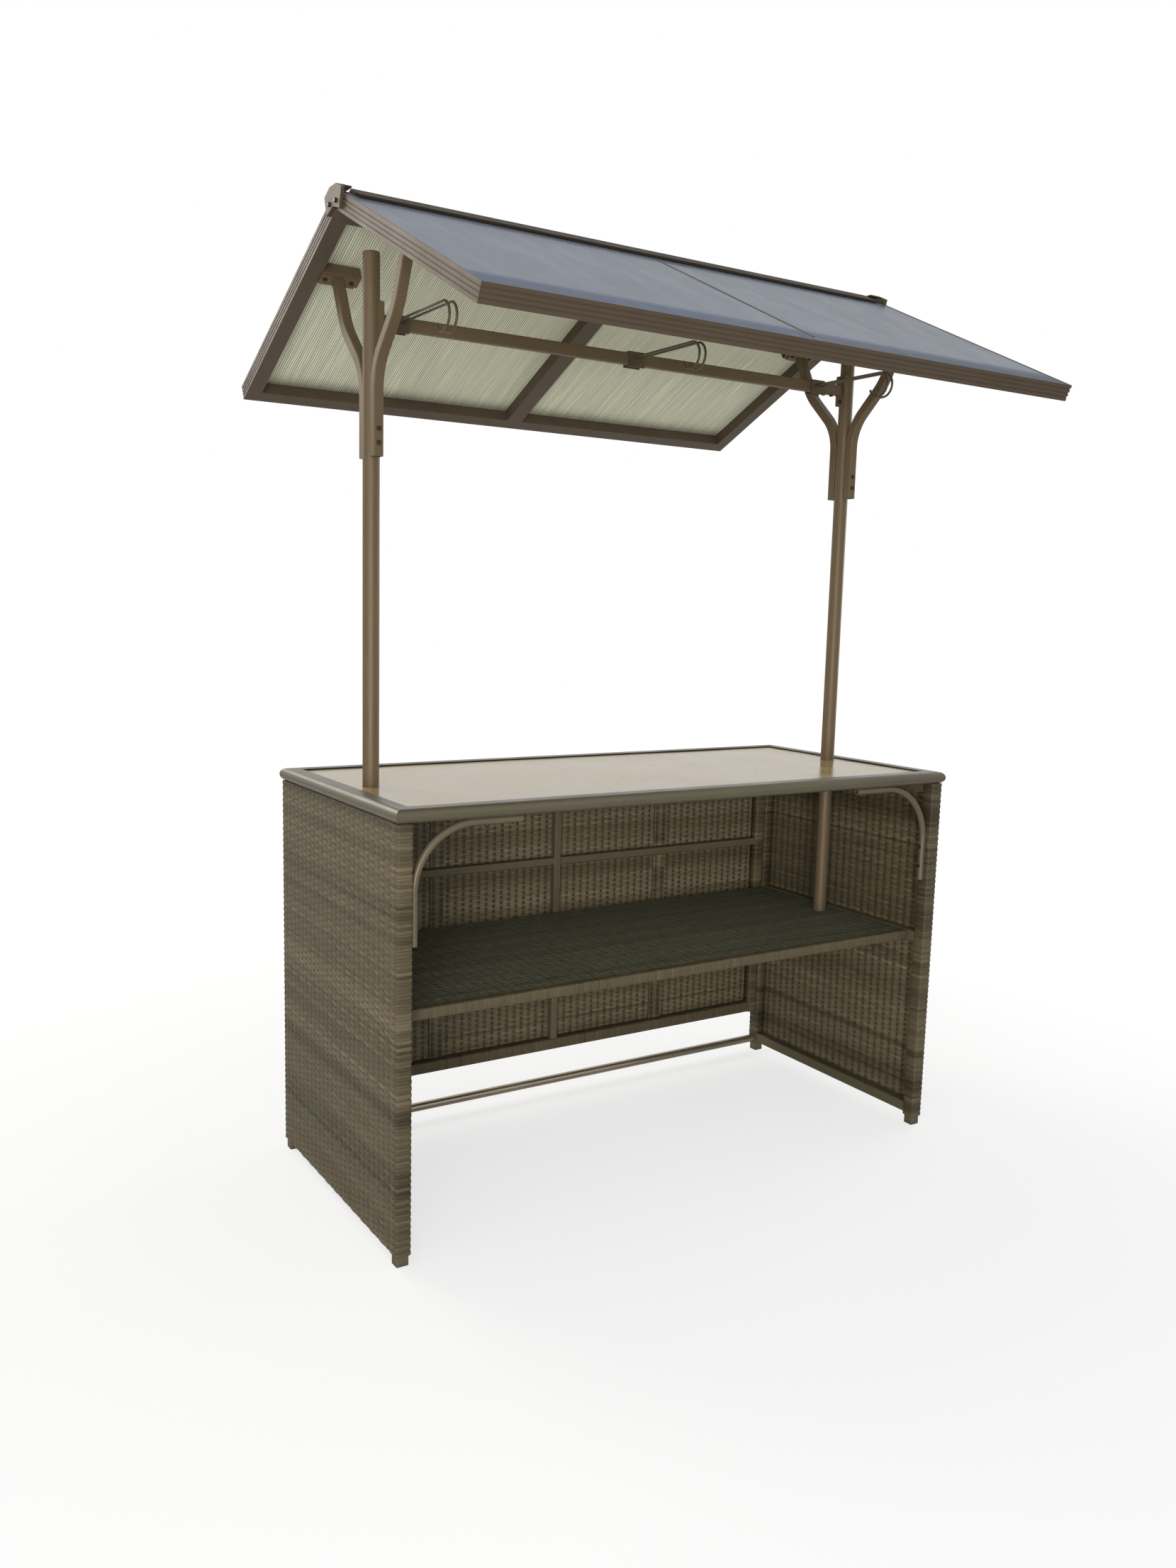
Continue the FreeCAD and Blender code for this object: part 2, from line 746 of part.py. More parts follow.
# Hook rail
def rail_bolt_seats():
    """Seats of the bolts under the left end of the rail."""
    z = rail_z - rail_height / 2
    places = (rail_bolt_first, rail_bolt_first + rail_bolt_pitch)
    return [Vector(-rail_end + x, 0, z) for x in places]


rail_bolt_length = tube_wall + plug_clearance + bolt_bite


def cross_rail():
    rail = tube(Vector(-rail_end, 0, rail_z), Vector(rail_end, 0, rail_z), Y, rail_depth, rail_height)
    for seat in rail_bolt_seats():
        hole = bolt_hole(seat, Z, rail_bolt_length)
        rail = rail.cut(hole).cut(mirror_x(hole))
    return rail


def rail_bracket():
    """Saddle plate on the post with a spigot that fills the end of the rail."""
    half_y, half_z = rail_plate_width / 2, rail_plate_height / 2
    low = Vector(-post_x, -half_y, rail_z - half_z)
    plate = block(low, Vector(-rail_end, half_y, rail_z + half_z))
    bore = post_diameter + 2 * plug_clearance
    plate = plate.cut(rod(Vector(-post_x, 0, low.z), Z, bore, rail_plate_height))
    deep = rail_depth - 2 * tube_wall - 2 * plug_clearance
    high = rail_height - 2 * tube_wall - 2 * plug_clearance
    start = Vector(-rail_end, 0, rail_z)
    shape = plate.fuse(Part.Face(rectangle(start, Y, Z, deep, high)).extrude(X * rail_spigot))
    for seat in rail_bolt_seats():
        shape = shape.cut(bolt_hole(seat, Z, rail_bolt_length))
    for seat in bracket_screw_seats():
        shape = shape.cut(bolt_hole(seat, X * -1, bracket_screw_length))
    return shape


def hook_saddle(x):
    """Channel that hangs over the rail and slides along it."""
    inner = rail_depth / 2 + slide_clearance
    outer = inner + saddle_wall
    top = rail_z + rail_height / 2 + slide_clearance
    low = rail_z - rail_height / 2 - saddle_drop
    ring = [(-outer, low), (-inner, low), (-inner, top), (inner, top), (inner, low), (outer, low)]
    ring += [(outer, top + saddle_wall), (-outer, top + saddle_wall)]
    start = x - saddle_length / 2
    channel = prism([Vector(start, y, z) for y, z in ring], X * saddle_length)
    long_edges = [e for e in channel.Edges if abs(e.Length - saddle_length) < same_length]
    corners = [e for e in long_edges if e.CenterOfMass.z > top + saddle_wall / 2]
    return channel.makeFillet(saddle_wall / 2, corners)


def hook_wires(x):
    """Two bent wires: arm towards the server, turned down and back to an upturned tip."""
    face_y = -(rail_depth / 2 + slide_clearance + saddle_wall)
    z = rail_z + rail_height / 2 - hook_wire_drop
    moves = [(hook_arm,), (hook_bend, 180), (hook_floor,), (hook_tip_bend, hook_tip_turn), (hook_tip_run,)]
    wires = []
    for side in (-1, 1):
        start = Vector(x + side * hook_spacing / 2, face_y, z)
        ring = Part.Face(Part.Wire(Part.makeCircle(hook_wire / 2, start, Y)))
        wires.append(follow(ring, start, Y * -1, X, moves))
    return wires


# Counter nodes
for name, trim in worktop_trims.items():
    for seat in trim_bolt_seats():
        hole = bolt_hole(seat, Z, bracket_diameter + bolt_bite)
        trim = trim.cut(hole).cut(mirror_x(hole))
    save(name, trim)
save("worktop_panel", worktop_panel())
frame, weave, bracket = end_frame(), end_weave(), corner_bracket()
save("end_frame_left", *frame)
save("end_frame_right", *map(mirror_x, frame))
save("end_weave_left", *weave)
save("end_weave_right", *map(mirror_x, weave))
save("leg_feet", *[leg_foot(sx * leg_x, sy * leg_y) for sx in (-1, 1) for sy in (-1, 1)])
save("back_frame", *back_frame())
save("back_weave", *back_weave())
save("base_rail", base_rail())
save("shelf_frame", *shelf_frame())
save("shelf_weave", *shelf_weave())
save("corner_bracket_left", bracket)
save("corner_bracket_right", mirror_x(bracket))
corner = corner_bolts()
save("corner_bolts", *corner, *map(mirror_x, corner))

# Post nodes
upright = post()
save("post_left", upright)
save("post_right", mirror_x(upright))
save("post_caps", post_cap(), mirror_x(post_cap()))
save("post_spigots", post_spigot(), mirror_x(post_spigot()))

# Roof nodes: the rear slope and its mirror image in front
eave = cross_bar(-90, Vector(-roof_half, slope_length, 0))
top_bar = cross_bar(90, Vector(roof_half, ridge_setback, 0))
slope = {
    "eave": [eave],
    "ridge_bar": [top_bar],
    "rafter_left": [rafter_left()],
    "rafter_right": [mirror_x(rafter_left())],
    "rafter_mid": [rafter_mid()],
    "pane_left": [pane_left()],
    "pane_right": [mirror_x(pane_left())],
    "brace_arms": [brace_arm(), mirror_x(brace_arm())],
    "brace_left": [brace()],
    "brace_right": [mirror_x(brace())],
}
for name, solids in slope.items():
    save(f"rear_{name}", *solids)
    save(f"front_{name}", *map(mirror_y, solids))
save("ridge_cap", ridge_cap())
save("ridge_plate_left", ridge_plate())
save("ridge_plate_right", mirror_x(ridge_plate()))
ridge_bolts = [bolt(ridge_bolt_seat(side), X, ridge_bolt_length) for side in (-1, 1)]
save("ridge_bolts", *ridge_bolts, *map(mirror_x, ridge_bolts))
brace_bolts = [bolt(seat, Y * -1, brace_bolt_length) for seat in brace_bolt_seats()]
brace_bolts += [mirror_x(b) for b in brace_bolts]
save("brace_bolts", *brace_bolts, *map(mirror_y, brace_bolts))
flange_screws = [to_rear(bolt(seat, Z, flange_screw_length)) for seat in flange_seats()]
flange_screws += [mirror_x(s) for s in flange_screws]
save("flange_screws", *flange_screws, *map(mirror_y, flange_screws))

# Hook rail nodes
save("cross_rail", cross_rail())
save("rail_bracket_left", rail_bracket())
save("rail_bracket_right", mirror_x(rail_bracket()))
rail_bolts = [bolt(seat, Z, rail_bolt_length) for seat in rail_bolt_seats()]
rail_bolts += [bolt(seat, X * -1, bracket_screw_length) for seat in bracket_screw_seats()]
save("rail_bolts", *rail_bolts, *map(mirror_x, rail_bolts))
for name, place in hook_places.items():
    save(f"hook_saddle_{name}", hook_saddle(place))
    save(f"hook_wires_{name}", *hook_wires(place))
print("nodes", len(os.listdir("parts")), "brace foot at", round(brace_low, 1))
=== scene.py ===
# %% [markdown]
# # A garden cocktail bar, dressed piece by piece
# The solid model gives us the construction: tubes, rails, panels, a roof and three sliding hooks.
# This lesson adds what solids leave plain: woven strips, ribbed roof sheets, painted metal and a
# glossy worktop. Every length is in metres, in the same frame as the solids, so nothing is fitted
# by eye: +X runs along the counter, -Y is the open side and +Z is up.

# %% Load the frame
import math
import bpy
import numpy as np
from mathutils import Matrix, Vector


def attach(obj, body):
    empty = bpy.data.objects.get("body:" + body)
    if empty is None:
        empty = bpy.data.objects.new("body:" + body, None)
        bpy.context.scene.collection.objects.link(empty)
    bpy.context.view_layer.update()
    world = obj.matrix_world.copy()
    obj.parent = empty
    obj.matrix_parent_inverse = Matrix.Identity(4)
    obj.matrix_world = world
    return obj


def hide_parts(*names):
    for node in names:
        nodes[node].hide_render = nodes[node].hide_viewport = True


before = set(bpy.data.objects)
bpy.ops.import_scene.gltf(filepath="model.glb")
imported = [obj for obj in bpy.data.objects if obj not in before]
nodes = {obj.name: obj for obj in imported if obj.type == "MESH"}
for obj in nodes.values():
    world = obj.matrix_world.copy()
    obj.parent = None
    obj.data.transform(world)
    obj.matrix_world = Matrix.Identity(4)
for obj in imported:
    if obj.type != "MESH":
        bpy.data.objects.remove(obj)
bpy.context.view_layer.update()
scene = bpy.context.scene

# %% [markdown]
# ## The camera
# The stand was seen from the left of its open side, a little above the worktop. A camera is a place,
# a heading and a lens. We build its three axes from yaw, pitch and roll instead of aiming it by hand,
# so that the numbers can be read and changed one at a time.

# %% Camera
CAMERA_PLACE = Vector((-1.91595, -2.81428, 1.49238))
CAMERA_YAW, CAMERA_PITCH, CAMERA_ROLL = map(math.radians, (32.14, -8.10, 1.42))
CAMERA_LENS = 28.72
CAMERA_SHIFT = 0.0057


def camera_axes(yaw, pitch, roll):
    """Right, up and forward of a camera that turns by yaw from +Y, tips by pitch and rolls."""
    right = Vector((math.cos(yaw), -math.sin(yaw), 0.0))
    level = math.cos(pitch)
    forward = Vector((math.sin(yaw) * level, math.cos(yaw) * level, math.sin(pitch)))
    up = right.cross(forward)
    c, s = math.cos(roll), math.sin(roll)
    return right * c + up * s, up * c - right * s, forward


right, up, forward = camera_axes(CAMERA_YAW, CAMERA_PITCH, CAMERA_ROLL)
camera = bpy.data.objects.new("camera", bpy.data.cameras.new("camera"))
scene.collection.objects.link(camera)
camera.data.lens = CAMERA_LENS
camera.data.shift_x = CAMERA_SHIFT
turned = Matrix((right, up, -forward)).transposed().to_4x4()
camera.matrix_world = Matrix.Translation(CAMERA_PLACE) @ turned
scene.camera = camera
print("camera at", tuple(CAMERA_PLACE))

# %% [markdown]
# ## Meshes from arrays
# All new pieces here are long thin things: strips, loops and ribbed sheets. One helper turns arrays of
# points and faces into an object that stays at the origin and rides on the stand. It also carries what
# the finish needs: a UV map and one tone for each point. Whole arrays keep a million faces quick.


# %% Mesh helper
def put_mesh(name, points, faces, uv, tones):
    """One smooth mesh object at the origin, with a UV map and a tone attribute."""
    mesh = bpy.data.meshes.new(name)
    mesh.from_pydata(points, [], faces)
    layer = mesh.uv_layers.new(name="strip")
    layer.data.foreach_set("uv", uv[faces.ravel()].astype(np.float32).ravel())
    tone = mesh.attributes.new("tone", "FLOAT", "POINT")
    tone.data.foreach_set("value", tones.astype(np.float32))
    mesh.polygons.foreach_set("use_smooth", np.ones(len(faces), bool))
    mesh.update()
    piece = bpy.data.objects.new(name, mesh)
    scene.collection.objects.link(piece)
    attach(piece, "stand")
    print(name, len(points), "points", 2 * len(faces), "triangles")
    return piece


# %% [markdown]
# ## Strips
# Cane, wraps and the dark strip of painted shadow round the worktop panel are flat strips with thin edges.
# A strip is a ring of six points carried along a path: two edges, and on each face the two ends of a flat.
# Quads join neighbouring rings. A closed strip meets itself, and an open one gets two quads at each end, so
# no mesh is left open.

# %% Strip helper
FLAT = 0.72
STRIP_SECTION = [(1, 0), (FLAT, 1), (-FLAT, 1), (-1, 0), (-FLAT, -1), (FLAT, -1)]
SECTION_TONE = [0, 1, 1, 0, 2, 2]
END_QUADS = ((0, [3, 2, 1, 0]), (0, [5, 4, 3, 0]), (-1, [0, 1, 2, 3]), (-1, [0, 3, 4, 5]))
ACROSS_X, ACROSS_Y, ACROSS_Z = (1, 0, 0), (0, 1, 0), (0, 0, 1)


def unit(vectors):
    """Each vector divided by its own length."""
    return vectors / np.linalg.norm(vectors, axis=-1, keepdims=True)


def ring_faces(strips, steps, closed):
    """Quads between step i and i+1 round every ring; open strips also get two quads at each end."""
    ring = len(STRIP_SECTION)
    index = np.arange(strips * steps * ring).reshape(strips, steps, ring)
    near = index if closed else index[:, :-1]
    far = np.roll(index, -1, axis=1) if closed else index[:, 1:]
    quads = np.stack([near, np.roll(near, -1, 2), np.roll(far, -1, 2), far], axis=-1).reshape(-1, 4)
    if closed:
        return quads
    return np.concatenate([quads, *(index[:, step][:, corners] for step, corners in END_QUADS)])


def cane_strips(name, paths, across, width, thickness, tone, closed=False):
    """Flat strips with tapered edges along paths (strips, steps, 3).

    The edges lie half a width to each side along across. On each face the flat spans FLAT of that half
    width, lifted by half a thickness along tangent x across. UV is (distance along the strip, -1 to 1
    across it). Tone is one value per step, or three: on the edges, on the face towards tangent x across,
    and on the other face.
    """
    if closed:
        tangent = unit(np.roll(paths, -1, axis=1) - np.roll(paths, 1, axis=1))
    else:
        tangent = unit(np.gradient(paths, axis=1))
    across = np.broadcast_to(np.asarray(across, float), paths.shape)
    crown = unit(np.cross(tangent, across))
    half_w, half_t = across * (width / 2), crown * (thickness / 2)
    ring = np.stack([paths + a * half_w + b * half_t for a, b in STRIP_SECTION], axis=2)
    strips, steps = paths.shape[:2]
    step_lengths = np.linalg.norm(np.diff(paths, axis=1, prepend=paths[:, :1]), axis=-1)
    uv = np.empty((strips, steps, len(STRIP_SECTION), 2))
    uv[..., 0] = np.cumsum(step_lengths, axis=1)[..., None]
    uv[..., 1] = np.array(STRIP_SECTION)[:, 0]
    tone = np.asarray(tone, float)
    tone = tone[..., SECTION_TONE] if tone.ndim == 3 else tone[..., None]
    tones = np.broadcast_to(tone, uv.shape[:3]).reshape(-1)
    faces = ring_faces(strips, steps, closed)
    return put_mesh(name, ring.reshape(-1, 3), faces, uv.reshape(-1, 2), tones)


# %% [markdown]
# ## Node helpers
# A material is a small graph. `add` places a node, and `fill` sets or links its inputs. The others name
# the few steps that return in every finish: a ramp, a blend, a change of range, one sum, a noise and a
# bump. Effects that several finishes share become groups.


# %% Node helpers
def fill(tree, node, sockets):
    """Give a node its inputs: another node's socket is linked, any other value is set."""
    for key, value in sockets.items():
        if isinstance(value, bpy.types.NodeSocket):
            tree.links.new(value, node.inputs[key])
        else:
            node.inputs[key].default_value = value
    return node


def add(tree, kind, sockets=None, **settings):
    """Place a shader node with its settings and inputs."""
    made = tree.nodes.new("ShaderNode" + kind)
    for key, value in settings.items():
        setattr(made, key, value)
    return fill(tree, made, sockets or {})


def ramp(tree, value, stops):
    """Colour ramp through (position, linear colour) stops."""
    made = add(tree, "ValToRGB", {"Fac": value})
    elements = made.color_ramp.elements
    while len(elements) < len(stops):
        elements.new(0.5)
    for element, (place, colour) in zip(elements, stops):
        element.position = place
        element.color = (*colour, 1.0)
    return made.outputs["Color"]


def mix(tree, factor, first, second):
    """Blend two colours by a factor; inputs 6 and 7 of a mix node are its colours."""
    sockets = {0: factor, 6: first, 7: second}
    return add(tree, "Mix", sockets, data_type="RGBA").outputs[2]


def spread(tree, value, low, high, to_low, to_high):
    """Map a value from one span to another, clamped."""
    sockets = {"Value": value, "From Min": low, "From Max": high, "To Min": to_low, "To Max": to_high}
    return add(tree, "MapRange", sockets).outputs["Result"]


def times(tree, first, second, operation="MULTIPLY"):
    """Two values through one arithmetic step."""
    return add(tree, "Math", {0: first, 1: second}, operation=operation).outputs[0]


def noise(tree, place, scale, detail, roughness=0.5, distortion=0.0):
    """Fractal noise at a place, mostly between 0.3 and 0.7."""
    sockets = {"Vector": place, "Scale": scale, "Detail": detail}
    sockets.update({"Roughness": roughness, "Distortion": distortion})
    return add(tree, "TexNoise", sockets).outputs["Fac"]


def bump(tree, height, strength, distance):
    """Normal from a height."""
    sockets = {"Height": height, "Strength": strength, "Distance": distance}
    return add(tree, "Bump", sockets).outputs["Normal"]


# %% [markdown]
# ## Groups and materials
# A group is a graph with named sockets that is built once and placed in many materials. A new material
# already holds a Principled shader, so we only return it with its tree.


# %% Group and material helpers
def new_group(name, inputs, outputs):
    """Empty node group with named sockets; returns the tree and its two ends."""
    tree = bpy.data.node_groups.new(name, "ShaderNodeTree")
    for label, kind in inputs:
        tree.interface.new_socket(label, in_out="INPUT", socket_type="NodeSocket" + kind)
    for label, kind in outputs:
        tree.interface.new_socket(label, in_out="OUTPUT", socket_type="NodeSocket" + kind)
    return tree, tree.nodes.new("NodeGroupInput").outputs, tree.nodes.new("NodeGroupOutput").inputs


def use_group(tree, group, sockets):
    """Place a node group in a material."""
    made = tree.nodes.new("ShaderNodeGroup")
    made.node_tree = group
    return fill(tree, made, sockets).outputs


def new_material(name):
    """Material with a plain Principled shader; returns material, tree and shader."""
    material = bpy.data.materials.new(name)
    material.use_nodes = True
    tree = material.node_tree
    return material, tree, tree.nodes["Principled BSDF"]


# %% [markdown]
# ## Streaks and grain
# Two effects belong to the stuff itself. Plastic cane is drawn through a die, so it is streaked along its
# length; the noise is stretched along the strip and moved by the strip's own tone, so no two strips are
# alike. Powder coat is faintly clouded and has a fine orange peel.

# %% Streak and grain groups
STREAK_STRETCH = (9.0, 2.6, 1.0)
STREAK_SHIFT, STREAK_SPAN = 61.0, 0.22
CLOUD_SCALE = 7.0

melange, enter, leave = new_group(
    "strip_melange",
    [("Tone", "Float"), ("Strip", "Vector")],
    [("Shade", "Float"), ("Height", "Float")],
)
stretched = add(melange, "Mapping", {"Vector": enter["Strip"], "Scale": STREAK_STRETCH}).outputs[0]
shifted = add(melange, "CombineXYZ", {"Z": times(melange, enter["Tone"], STREAK_SHIFT)}).outputs[0]
lane = add(melange, "VectorMath", {0: stretched, 1: shifted}, operation="ADD").outputs[0]
streak = noise(melange, lane, 2.2, 5.0, 0.65)
change = spread(melange, streak, 0.25, 0.75, -STREAK_SPAN, STREAK_SPAN)
melange.links.new(times(melange, enter["Tone"], change, "ADD"), leave["Shade"])
melange.links.new(streak, leave["Height"])

grain, enter, leave = new_group(
    "paint_grain",
    [("Place", "Vector"), ("Peel", "Float")],
    [("Cloud", "Float"), ("Height", "Float")],
)
grain.links.new(noise(grain, enter["Place"], CLOUD_SCALE, 6.0), leave["Cloud"])
grain.links.new(noise(grain, enter["Place"], enter["Peel"], 2.0), leave["Height"])
print("groups", [g.name for g in bpy.data.node_groups])

# %% [markdown]
# ## Wear and dust
# Two effects come with use. Paint wears off along edges, which we find by comparing a rounded normal with
# the true one, and only in patches. Dust settles on faces that look up, thinned by a noise.

# %% Wear and dust groups
WEAR_SCALE, DUST_SCALE = 55.0, 26.0

worn, enter, leave = new_group(
    "worn_edge",
    [("Place", "Vector"), ("Radius", "Float")],
    [("Mask", "Float")],
)
rounded = add(worn, "Bevel", {"Radius": enter["Radius"]}, samples=4).outputs["Normal"]
normals = {0: rounded, 1: add(worn, "NewGeometry").outputs["Normal"]}
agreement = add(worn, "VectorMath", normals, operation="DOT_PRODUCT").outputs["Value"]
edge = spread(worn, agreement, 0.99, 0.80, 0.0, 1.0)
patches = noise(worn, enter["Place"], WEAR_SCALE, 5.0)
worn.links.new(times(worn, edge, spread(worn, patches, 0.42, 0.66, 0.0, 1.0)), leave["Mask"])

# the same mask also lays a painted highlight on the top of the base rail
dust, enter, leave = new_group("settled_dust", [("Place", "Vector")], [("Mask", "Float")])
normal = add(dust, "NewGeometry").outputs["Normal"]
facing = add(dust, "SeparateXYZ", {"Vector": normal}).outputs["Z"]
specks = noise(dust, enter["Place"], DUST_SCALE, 8.0)
lies = spread(dust, facing, 0.2, 0.9, 0.0, 1.0)
dust.links.new(times(dust, lies, spread(dust, specks, 0.4, 0.75, 0.0, 1.0)), leave["Mask"])
print("groups", [g.name for g in bpy.data.node_groups])

# %% [markdown]
# ## Painted metal
# Posts, rafters, braces and rails are tube with a satin brown powder coat. The trim round the worktop has
# a more metallic coat, and the base rail is bright metal with patches of painted highlight on its top. All
# are one recipe with other values, so the recipe is a function and the values are a table. The feet share
# the recipe too, as moulded plastic also clouds, wears at its edges and gathers dust, and so does the dark
# strip of painted shadow round the worktop panel.

# %% Painted metal
PEEL_SCALE, PEEL_DEPTH = 700.0, 0.00006
EDGE_RADIUS = 0.0008
CLOUD_LOW, CLOUD_HIGH = 0.3, 0.7
DARKER, LIGHTER = 0.94, 1.06
DUST_AND_SHEEN_COLOUR = (0.42, 0.38, 0.31, 1.0)


def painted_metal(name, colour, bare, metallic, roughness, wear, shine=0.22, dust_and_sheen=0.06):
    """Powder coat: clouded colour, edges worn barer, dust on top (painted highlight on the base rail),
    orange peel.
    """
    material, tree, shader = new_material(name)
    place = add(tree, "TexCoord").outputs["Object"]
    skin = use_group(tree, grain, {"Place": place, "Peel": PEEL_SCALE})
    darker = tuple(c * DARKER for c in colour)
    lighter = tuple(c * LIGHTER for c in colour)
    coat = ramp(tree, skin["Cloud"], [(CLOUD_LOW, darker), (CLOUD_HIGH, lighter)])
    edge_mask = use_group(tree, worn, {"Place": place, "Radius": EDGE_RADIUS})["Mask"]
    coat = mix(tree, times(tree, edge_mask, wear), coat, (*bare, 1.0))
    dust_mask = use_group(tree, dust, {"Place": place})["Mask"]
    # dust on top; with the base rail's larger amount this is a painted highlight on its top
    coat = mix(tree, times(tree, dust_mask, dust_and_sheen), coat, DUST_AND_SHEEN_COLOUR)
    dullness = spread(tree, skin["Cloud"], CLOUD_LOW, CLOUD_HIGH, roughness - 0.05, roughness + 0.06)
    peel = bump(tree, skin["Height"], 0.1, PEEL_DEPTH)
    fill(tree, shader, {"Base Color": coat, "Roughness": dullness, "Normal": peel})
    fill(tree, shader, {"Metallic": metallic, "Specular IOR Level": shine})
    return material


# %% [markdown]
# ## The paints
# In the photograph the roof bars and the inner frames read darker than the posts, so each gets a darker
# tone of its own, which is painted shade. The cap on the ridge is nearly black. Each row gives the coat,
# the barer tone at its edges, and how metallic, rough, worn and shiny it is; some rows also set the dust on
# top, which on the base rail is a painted highlight.

# %% Paints
PAINTS = {
    "frame_paint": dict(colour=(0.128, 0.091, 0.051), bare=(0.22, 0.17, 0.115),
                        metallic=0.15, roughness=0.46, wear=0.25, shine=0.18),
    # a darker tone of the coat: painted shade on the roof bars
    "shaded_roof_paint": dict(colour=(0.090, 0.067, 0.045), bare=(0.19, 0.15, 0.11),
                       metallic=0.15, roughness=0.46, wear=0.25, shine=0.15),
    # a darker tone of the coat: painted shade on the inner frames
    "shaded_inner_paint": dict(colour=(0.104, 0.086, 0.051), bare=(0.18, 0.15, 0.10),
                        metallic=0.1, roughness=0.5, wear=0.2, shine=0.18),
    "bracket_paint": dict(colour=(0.116, 0.093, 0.058), bare=(0.26, 0.22, 0.16),
                          metallic=0.2, roughness=0.42, wear=0.25),
    "trim_paint": dict(colour=(0.108, 0.093, 0.062), bare=(0.26, 0.24, 0.20),
                       metallic=0.35, roughness=0.36, wear=0.25, shine=0.2),
    "cap_paint": dict(colour=(0.040, 0.030, 0.021), bare=(0.10, 0.08, 0.055),
                      metallic=0.0, roughness=0.6, wear=0.2, shine=0.08),
    "rail_paint": dict(colour=(0.098, 0.075, 0.046), bare=(0.24, 0.20, 0.15),
                       metallic=0.3, roughness=0.33, wear=0.3),
    # the base rail's bright top is a painted highlight, laid on with the dust mask
    "foot_rail_paint": dict(colour=(0.36, 0.31, 0.235), bare=(0.46, 0.40, 0.32),
                            metallic=0.85, roughness=0.27, wear=0.3, shine=0.3, dust_and_sheen=0.3),
    "bolt_paint": dict(colour=(0.042, 0.034, 0.025), bare=(0.16, 0.14, 0.11),
                       metallic=0.6, roughness=0.38, wear=0.4),
    "foot_plastic": dict(colour=(0.085, 0.068, 0.045), bare=(0.14, 0.12, 0.09),
                         metallic=0.0, roughness=0.6, wear=0.25),
    # near-black strip round the worktop panel: painted shadow in that corner
    "shadow_strip_dark": dict(colour=(0.018, 0.016, 0.013), bare=(0.03, 0.028, 0.024),
                        metallic=0.0, roughness=0.6, wear=0.2),
}
paints = {name: painted_metal(name, **values) for name, values in PAINTS.items()}
print("paints", list(paints))

# %% [markdown]
# ## The worktop
# The sunk panel is a glossy beige slab, clouded like stone. Two sizes of noise give the clouds and the
# fine mottling. The clouds also change the gloss a little, as a wiped top does.

# %% Worktop
WORKTOP_CLOUDS = [
    (0.32, (0.300, 0.218, 0.095)), (0.5, (0.385, 0.292, 0.140)), (0.7, (0.48, 0.375, 0.20)),
]
WORKTOP_FLECK = (0.20, 0.16, 0.105, 1.0)

worktop, tree, shader = new_material("worktop")
place = add(tree, "TexCoord").outputs["Object"]
clouds = noise(tree, place, 4.5, 8.0, 0.62, 0.6)
mottle = noise(tree, place, 60.0, 6.0)
fleck = spread(tree, mottle, 0.45, 0.7, 0.0, 0.35)
fill(tree, shader, {
    "Base Color": mix(tree, fleck, ramp(tree, clouds, WORKTOP_CLOUDS), WORKTOP_FLECK),
    "Roughness": spread(tree, clouds, 0.3, 0.7, 0.16, 0.28),
    "Normal": bump(tree, mottle, 0.03, 0.0005),
    "Specular IOR Level": 0.4,
})
print("worktop material", len(tree.nodes), "nodes")

# %% [markdown]
# ## Painted shadow round the panel
# A thin dark line runs where the panel meets its raised trim: the shadow in that corner. It is painted as a
# near-black bead laid into the corner: one closed path, a rectangle with small round corners, with a slim
# upright section.

# %% Painted shadow round the panel
PANEL_X, PANEL_Y, SHADOW_STRIP_Z = 0.7978, 0.3328, 1.0476
SHADOW_STRIP_CORNER, SHADOW_STRIP_HEIGHT, SHADOW_STRIP_DEPTH = 0.004, 0.0040, 0.0030


def rounded_rectangle(half_x, half_y, radius):
    """Closed rectangle about the origin; each corner is a quarter circle of four points."""
    turn = np.radians(np.linspace(0.0, 90.0, 4))[None, :] + np.radians([[0.0], [90.0], [180.0], [270.0]])
    side_x, side_y = np.array([[1], [-1], [-1], [1]]), np.array([[1], [1], [-1], [-1]])
    x = side_x * (half_x - radius) + radius * np.cos(turn)
    y = side_y * (half_y - radius) + radius * np.sin(turn)
    return np.stack([x.ravel(), y.ravel()], axis=1)


outline = rounded_rectangle(PANEL_X, PANEL_Y, SHADOW_STRIP_CORNER)
shadow_strip_path = np.column_stack([outline, np.full(len(outline), SHADOW_STRIP_Z)])[None]
# a near-black strip that stands in for the shadow where the panel meets its trim
shadow_strip = cane_strips("panel_shadow_strip", shadow_strip_path, ACROSS_Z, SHADOW_STRIP_HEIGHT, SHADOW_STRIP_DEPTH, [[0.5]], closed=True)
shadow_strip.data.materials.append(paints["shadow_strip_dark"])

# %% [markdown]
# ## Give the solids their finishes
# The solids keep their shapes and only take a material. A table from the start of a name to a finish
# avoids fifty separate lines; what is not in the table gets the paint of the posts.

# %% Finishes of the solids
ROOF_BARS = (
    "front_eave", "rear_eave", "front_rafter", "rear_rafter", "front_ridge", "rear_ridge", "ridge_plate",
)
BOLTS = ("corner_bolts", "ridge_bolts", "brace_bolts", "flange_screws", "rail_bolts")
finishes = [
    (("trim_",), paints["trim_paint"]),
    (("worktop_panel",), worktop),
    (("ridge_cap",), paints["cap_paint"]),
    # roof bars and inner frames take the darker paints, which are painted shade
    (ROOF_BARS, paints["shaded_roof_paint"]),
    (("end_frame", "back_frame", "shelf_frame"), paints["shaded_inner_paint"]),
    (("corner_bracket",), paints["bracket_paint"]),
    (("base_rail",), paints["foot_rail_paint"]),
    (("hook_",), paints["rail_paint"]),
    (BOLTS, paints["bolt_paint"]),
    (("leg_feet",), paints["foot_plastic"]),
]
